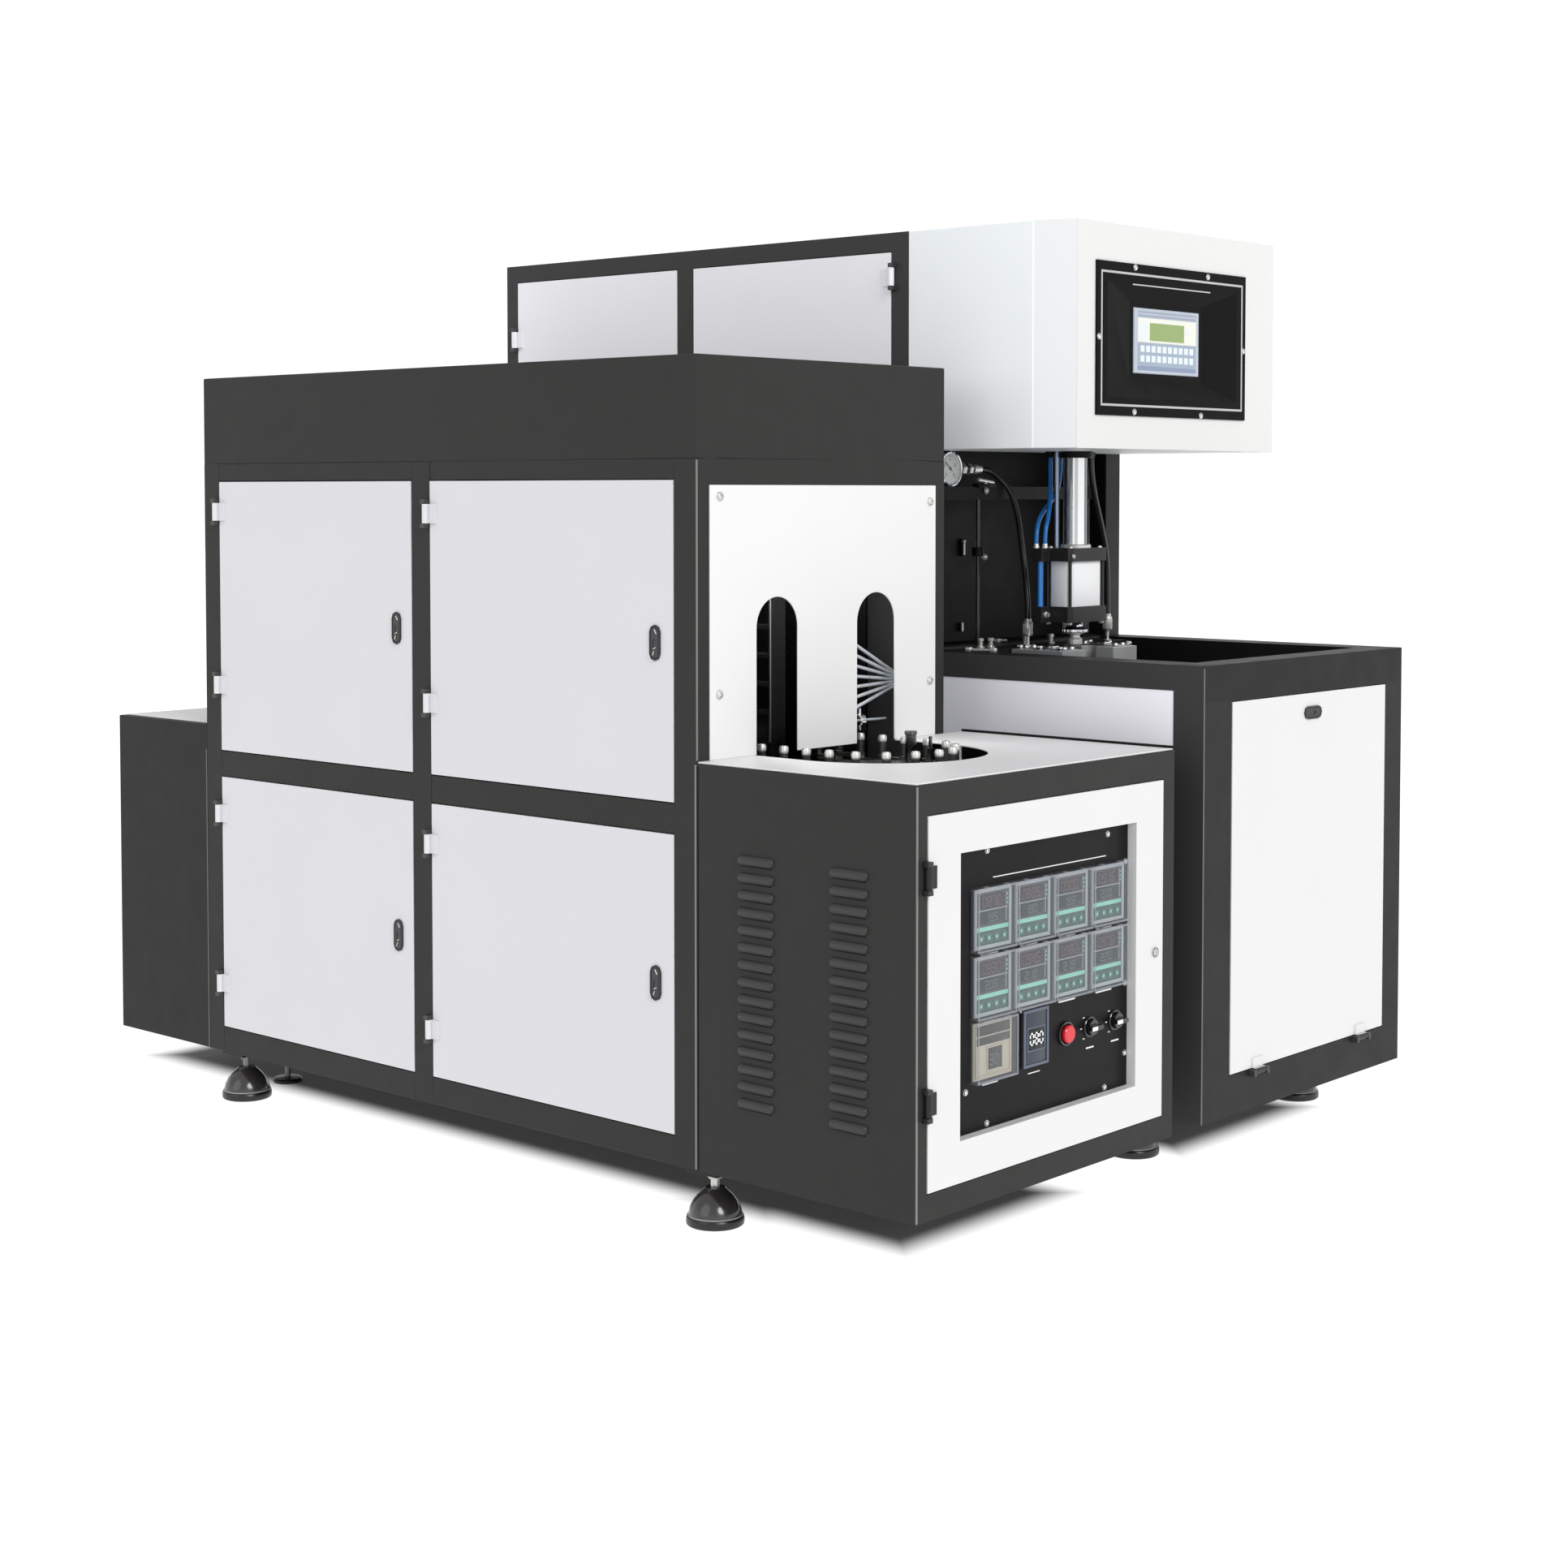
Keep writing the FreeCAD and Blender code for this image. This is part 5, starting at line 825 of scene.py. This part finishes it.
# Screws and nuts at the flanges' corners.
for sx in (-1, 1):
    for sy in (-1, 1):
        bits.screw((STATION_X + sx * 50, STATION_Y + sy * 24, UPPER_FLANGE_TOP), UP, 4.5, 4)
        bits.nut((STATION_X + sx * 54, STATION_Y + sy * 26, 957), DOWN, 9, 5)
bits.solid((1080.5, 548, 972), FORWARD, [(6.5, 0), (6.5, 4), (4.5, 5), (4.5, 9)], 18)
bits.screw((1100, 494, 1088), FORWARD, 4, 3)
# Neck ring at the column's foot and the collar under the head.
bits.lathe((*STATION, UPPER_FLANGE_TOP), UP, [(22.7, 0), (31, 0), (31, 5), (29, 7), (24, 7),
                                              (22.7, 6), (22.7, 0)], 40)
blacks.lathe((*STATION, 1283), UP, [(22.7, 0), (33, 0), (35, 2), (35, 13), (22.7, 13),
                                    (22.7, 0)], 40)
bits.done("station_fittings", "zinc_plate", "steel")
blacks.done("station_brackets", "black_enamel", "black_metal")

# Bright faces on the four sides of the barrel.
BARREL_LOW, BARREL_TOP = 988, 1078
faces = Shape()
for x in (STATION_X - 56, STATION_X + 56):
    faces.box(x - 0.8, 513, BARREL_LOW, x + 0.8, 547, BARREL_TOP, 0.4)
for y in (STATION_Y - 28, STATION_Y + 28):
    faces.box(1111, y - 0.8, BARREL_LOW, 1202, y + 0.8, BARREL_TOP, 0.4)
faces.done("barrel_faces", "brushed_barrel", "brushed_aluminium")

# Flared rings and a fluted nut on the nozzle.
ring = Shape().lathe((*STATION, 935), UP, [(10.5, 0), (22, 0), (24, 1.5), (24, 6), (21, 8),
                                           (16, 12), (14, 22), (10.5, 22), (10.5, 0)], 36)
for place in around(STATION, 23.8, 16):
    ring.bar((*place, 935.6), (*place, 941.4), 1.6, 8)
ring.done("nozzle_rings", "bright_chrome", "chrome", "blow_nozzle")

# Top plates, bolts and neck inserts on the two mould halves.
for side, name in ((-1, "left"), (1, "right")):
    plates, silver = Shape(), Shape()
    near, far = sorted((STATION_X + side * 68, STATION_X + side * 107))
    plates.box(near, 474, 904.5, far, 586, 907, 1.0)
    for dx in (75, 100):
        for dy in (-46, 46):
            silver.screw((STATION_X + side * dx, STATION_Y + dy, 907), UP, 5.5, 5)
    for dy in (-48, 0, 48):
        silver.nut((STATION_X + side * 119, STATION_Y + dy, BRIDGE_TOP), UP, 11, 8)
    near, far = sorted((STATION_X + side * 78, STATION_X + side * 100))
    silver.box(near, 512, 906.8, far, 548, 912, 1.2)
    plates.done("mould_top_plate_" + name, "milled_aluminium", "mould_aluminium",
                "mould_" + name)
    silver.done("mould_bolts_" + name, "bright_chrome", "steel", "mould_" + name)

# A rod along the table's inner rim, and pins on the bridge behind the moulds.
pins = Shape().bar((852, 562, 913), (864, 512, 913), 3.2)
for place in ((852, 562), (864, 512)):
    pins.nut((*place, 909.6), UP, 13, 8)
for place in ((1010, 655), (1034, 648), (1146, 645), (1225, 639)):
    pins.solid((*place, 904.8), UP, [(9, 0), (9, 3), (5, 4), (5, 13), (7, 14), (7, 18),
                                     (5, 20)], 18)
pins.bar((1112, 690, 914.5), (1120, 672, 914.5), 3)
pins.nut((1112, 690, 909.8), UP, 13, 8)
pins.done("table_pins", "zinc_plate", "steel")

# Knurled ferrules on thin stems under the black hoses, and the blue hoses' push-in ends.
SUPPLY_END, RETURN_END, BLUE_SUPPLY_END, BLUE_RETURN_END = (
    (1110, 612), (1389, 612), (1074, 566), (1087, 554))
ends = Shape()
for place in (SUPPLY_END, RETURN_END):
    ends.solid((*place, BRIDGE_TOP), UP, [(8, 0), (8, 3), (3.2, 4), (3.2, 20), (8, 21),
                                          (9.4, 23), (9.4, 48), (8.6, 50), (7, 51), (7, 56)],
               22)
    for knurl in around(place, 9.3, 16):
        ends.bar((*knurl, 930), (*knurl, 951), 0.9, 6)
for place in (BLUE_SUPPLY_END, BLUE_RETURN_END):
    ends.solid((*place, UPPER_FLANGE_TOP), UP, [(6.2, 0), (6.2, 4), (5.6, 5), (5.6, 9)], 18)
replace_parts(ends.done("hose_ends", "zinc_plate", "steel"), "air_fittings")

# Painted glints in the oven doors' latches: thin bright bars on the paddles.
for name in OVEN_BAYS:
    low, high = (Vector(corner) / MM + LAYOUT_ORIGIN
                 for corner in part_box("latch_paddle_" + name))
    x, middle, tall = low.x + 0.4, (low.y + high.y) / 2, high.z - low.z
    glint = Shape()
    for y0, up0, y1, up1, radius in ((high.y - 4, 0.1, middle + 1, 0.24, 1.0),
                                     (middle + 3, 0.3, middle - 3, 0.36, 0.9),
                                     (low.y + 3.5, 0.78, middle, 0.93, 1.0)):
        glint.bar((x, y0, low.z + up0 * tall), (x, y1, low.z + up1 * tall), radius, 8)
    glint.done("latch_glint_" + name, "zinc_plate", "steel", "latch_paddle_" + name)

# ---- louvres with painted light and shadow, and painted highlights on the edges
LOUVRE_ROWS, LOUVRE_PITCH, LOWEST_LOUVRE = 15, 28.3, 221
# Louvre lips pressed out of the housing's left side, in that lighter grey of painted light.
lips, slit_shadows = Shape(), Shape()
for centre in (134.5, 331):
    for row in range(LOUVRE_ROWS):
        z = LOWEST_LOUVRE + LOUVRE_PITCH * row
        lips.pill(centre, z + 4.5, 79, 17, 7)
        # A black strip under each lip: the louvre's opening, with painted shadow under the lip.
        slit_shadows.box(-0.5, centre - 34, z - 6, 0.5, centre + 34, z - 3.5, 0.3)
lips.done("louvre_lips", "louvre_lit_coat", "dark_coat")
slit_shadows.done("louvre_slit_shadows", "black_enamel", "dark_coat")
# Painted highlights on the vertical corners: light strips on the front-left corners of the
# control housing and the oven, dimmer ones on the rear box's corner and the blower's front-left
# corner.
highlights, dim = Shape(), Shape()
highlights.box(-0.5, -0.6, BASE_HEIGHT, 4.0, 0.3, 768, 0.3)
highlights.box(-0.6, 464, BASE_HEIGHT, 0.3, 468, 768, 0.3)
highlights.box(-0.5, 463.4, 775, 3.5, 464.3, 1268, 0.3)
dim.box(-0.6, 1831, BASE_HEIGHT, 0.3, 1834, 700, 0.3)
highlights.done("corner_highlights", "edge_highlight", "dark_coat")
dim.box(BLOWER_LEFT - 0.6, -0.6, BASE_HEIGHT, BLOWER_LEFT + 3.5, 0.3, 906, 0.3)
dim.done("dim_corner_highlights", "edge_highlight_dim", "dark_coat")

# Plugs in the open tops of the table's stiles and of the cabinet's posts.
WALL, POST_WIDTH = 2.9, 50
plugs = Shape()
for x0, x1 in ((BLOWER_LEFT, 891), (1449, BLOWER_RIGHT)):
    plugs.box(x0 + WALL, WALL, 896, x1 - WALL, 63 - WALL, 909.8, 0.4)
for x0 in (BLOWER_LEFT, BLOWER_RIGHT - POST_WIDTH):
    for y0, y1 in ((669, 711), (1245, 1290), (1787, 1822)):
        plugs.box(x0 + WALL, y0 + WALL, 1701, x0 + POST_WIDTH - WALL, y1 - WALL, 1714.8, 0.4)
plugs.done("post_plugs", "dark_powder_coat", "dark_coat")
seam = Shape().box(-0.5, HOUSING_BACK - 4.1, BASE_HEIGHT, 0.3, HOUSING_BACK, 766, 0.3)
seam.done("unit_seam", "black_enamel", "dark_coat")

# ---- feet
# Bell-shaped rubber feet with a thick rim and a line of light on it, and the small disc under
# the oven.
bells, rims, lines = Shape(), Shape(), Shape()
for place in [(x, y) for x in (38, 614) for y in (459, 1760)] + [
        (x, y) for x in (869, 1444) for y in (191, 1675)]:
    bells.solid((*place, 0), UP, [(44.5, 2), (45.5, 14), (45, 20), (42.5, 30), (37, 40),
                                  (29, 50), (22, 56), (18, 60), (16.5, 62)], 48)
    rims.solid((*place, 0), UP, [(46, 0), (48.4, 2), (49, 6), (48.8, 11), (47.6, 15),
                                 (45.8, 16.5)], 48)
    lines.lathe((*place, 0), UP, [(44, 15), (46.4, 15.6), (46.6, 17), (45.6, 18), (44, 18)], 48)
rims.solid((172, 1806, 0), UP, [(29, 0), (30, 1.5), (30, 6), (28, 8.5), (10, 10)], 40)
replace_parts(bells.done("foot_bells", "foot_rubber", "foot_rubber"), "foot_pads")
rims.done("foot_rims", "foot_rim", "foot_rubber")
lines.done("foot_rim_lines", "foot_line", "foot_rubber")

# ---- hoses
BLACK_END, BLUE_END = 955, 1112
for name, diameter, length, route in (
        ("hose_black_supply", 12, 384,
         [(1050, PIPE_Y, PIPE_Z), (1086, PIPE_Y, PIPE_Z), (1116, 695, 1247), (1137, 678, 1221),
          (1144, 666, 1178), (1136, 649, 1120), (1124, 630, 1052), (*SUPPLY_END, 993),
          (*SUPPLY_END, BLACK_END)]),
        ("hose_black_return", 12, 360,
         [RETURN_TOP, (1298, 592, 1258), (1318, 596, 1203), (1350, 602, 1147),
          (1378, 608, 1086), (*RETURN_END, 1020), (*RETURN_END, BLACK_END)]),
        ("hose_blue_supply", 9, 230,
         [BLUE_SUPPLY_TOP, (1178, 582, 1250), (1162, 582, 1208), (1106, 578, 1172),
          (*BLUE_SUPPLY_END, 1143), (*BLUE_SUPPLY_END, BLUE_END)]),
        ("hose_blue_return", 9, 198,
         [BLUE_RETURN_TOP, (1140, 580, 1260), (1128, 571, 1206), (1102, 557, 1164),
          (*BLUE_RETURN_END, 1140), (*BLUE_RETURN_END, BLUE_END)])):
    curve = bpy.data.curves.new(name + "_line", "CURVE")
    curve.dimensions = "3D"
    curve.bevel_depth = diameter / 2 * MM
    curve.bevel_resolution = 6
    curve.resolution_u = 16
    curve.use_fill_caps = True
    spline = curve.splines.new("NURBS")
    spline.points.add(len(route) - 1)
    for point, place in zip(spline.points, route):
        point.co = (*P(*place), 1)
    spline.order_u = 3
    spline.use_endpoint_u = True
    black = "black" in name
    curve.materials.append(M["black_tubing" if black else "blue_tubing"])
    piece = bpy.data.objects.new(name + "_tube", curve)
    bpy.context.scene.collection.objects.link(piece)
    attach(piece, "machine")
    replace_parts(piece, name)

# ---- studio
# A pale paper floor that glows to white, with a painted shadow under the machine: it stays dark
# where a footprint lies over it, and the shadow's soft edge comes from its distance to these
# rectangles (x0, y0, x1, y1).
FLOOR_SIZE = 40.0
SHADOW_FOOTPRINTS = ((0, 0, 707, 700), (0, 300, 652, 2340), (BLOWER_LEFT, 0, BLOWER_RIGHT, 1900))
MERGE, SHADOW_WITHIN, BRIGHT_FROM = 0.06, -0.18, -0.085
SHADOW_GLOW, BRIGHT_GLOW = 0.03, 1.05


def paper_floor():
    mesh = bpy.data.meshes.new("studio_floor")
    mesh.from_pydata([(x * FLOOR_SIZE, y * FLOOR_SIZE, 0)
                      for x, y in ((-1, -1), (1, -1), (1, 1), (-1, 1))], [], [(0, 1, 2, 3)])
    floor = bpy.data.objects.new("studio_floor", mesh)
    bpy.context.scene.collection.objects.link(floor)
    n = Nodes("studio_floor_paper")
    vector_math = "ShaderNodeVectorMath"
    nearest = None
    for x0, y0, x1, y1 in SHADOW_FOOTPRINTS:
        centre = (P(x0, y0, 0) + P(x1, y1, 0)) / 2
        half_size = ((x1 - x0) * MM / 2, (y1 - y0) * MM / 2, 0)
        offset = n.math("SUBTRACT", n.place, centre, vector_math)
        offset = n.add(vector_math, {0: offset}, operation="ABSOLUTE")
        past = n.math("SUBTRACT", offset, half_size, vector_math)
        distance = n.math("MAXIMUM", *(n.add("ShaderNodeSeparateXYZ", {0: past}, axis)
                                       for axis in (0, 1)))
        nearest = distance if nearest is None else n.add(
            "ShaderNodeMath", {0: nearest, 1: distance, 2: MERGE}, operation="SMOOTH_MIN")
    for socket, value in {
            "Base Color": n.mix(n.noise(3.0), (0.115, 0.115, 0.115, 1),
                                (0.125, 0.125, 0.125, 1)),
            "Roughness": 0.9, "Specular IOR Level": 0.1, "Emission Color": (1, 1, 1, 1),
            "Emission Strength": n.ramp(nearest, SHADOW_WITHIN, BRIGHT_FROM, SHADOW_GLOW,
                                        BRIGHT_GLOW, "SMOOTHSTEP")}.items():
        n.feed(n.shader[socket], value)
    mesh.materials.append(n.material)


paper_floor()
scene = bpy.context.scene
scene.view_settings.view_transform = "Standard"
scene.view_settings.look = "None"

# White round the horizon and below it, greyer overhead.
SKY = ((0.0, (1.15, 1.15, 1.13)), (0.2, (1.1, 1.1, 1.09)), (0.4, (0.7, 0.7, 0.71)),
       (1.0, (0.72, 0.72, 0.74)))
world = bpy.data.worlds.new("studio")
scene.world = world
world.use_nodes = True
tree = world.node_tree
background = tree.nodes["Background"]
direction = tree.nodes.new("ShaderNodeTexCoord")
height = tree.nodes.new("ShaderNodeSeparateXYZ")
sky = tree.nodes.new("ShaderNodeValToRGB")
tree.links.new(direction.outputs["Generated"], height.inputs[0])
tree.links.new(height.outputs["Z"], sky.inputs["Fac"])
stops = sky.color_ramp.elements
for position, colour in SKY:
    stop = {0.0: stops[0], 1.0: stops[-1]}.get(position) or stops.new(position)
    stop.color = (*colour, 1)
tree.links.new(sky.outputs["Color"], background.inputs["Color"])
background.inputs["Strength"].default_value = 0.95


def light(name, kind, energy, **settings):
    data = bpy.data.lights.new(name, kind)
    data.energy = energy
    for key, value in settings.items():
        setattr(data, key, value)
    lamp = bpy.data.objects.new(name, data)
    scene.collection.objects.link(lamp)
    return lamp


def sun(name, towards, strength, angle, colour=(1, 1, 1)):
    lamp = light(name, "SUN", strength, angle=math.radians(angle), color=colour)
    lamp.rotation_euler = Vector(towards).to_track_quat("Z", "Y").to_euler()


sun("key_light", (-0.3, -0.95, 0.6), 1.5, 25)
sun("left_fill", (-0.9, 0.1, 0.5), 0.36, 40, (0.96, 0.98, 1.0))
light("oven_glow", "POINT", 14.0, shadow_soft_size=0.12).location = P(330, 640, 1180)

# The photo's camera, fitted to its straight edges.
camera_data = bpy.data.cameras.new("photo_camera")
camera_data.lens = 56.98
camera_data.sensor_width = 36
camera_data.shift_x = -0.0068
camera_data.shift_y = -0.1171
camera_data.clip_end = 200
camera = bpy.data.objects.new("photo_camera", camera_data)
camera.location = P(-2913.857, -2358.741, 1215.177)
camera.rotation_euler = (math.radians(90 - 2.5), 0, -0.841)
scene.collection.objects.link(camera)
scene.camera = camera
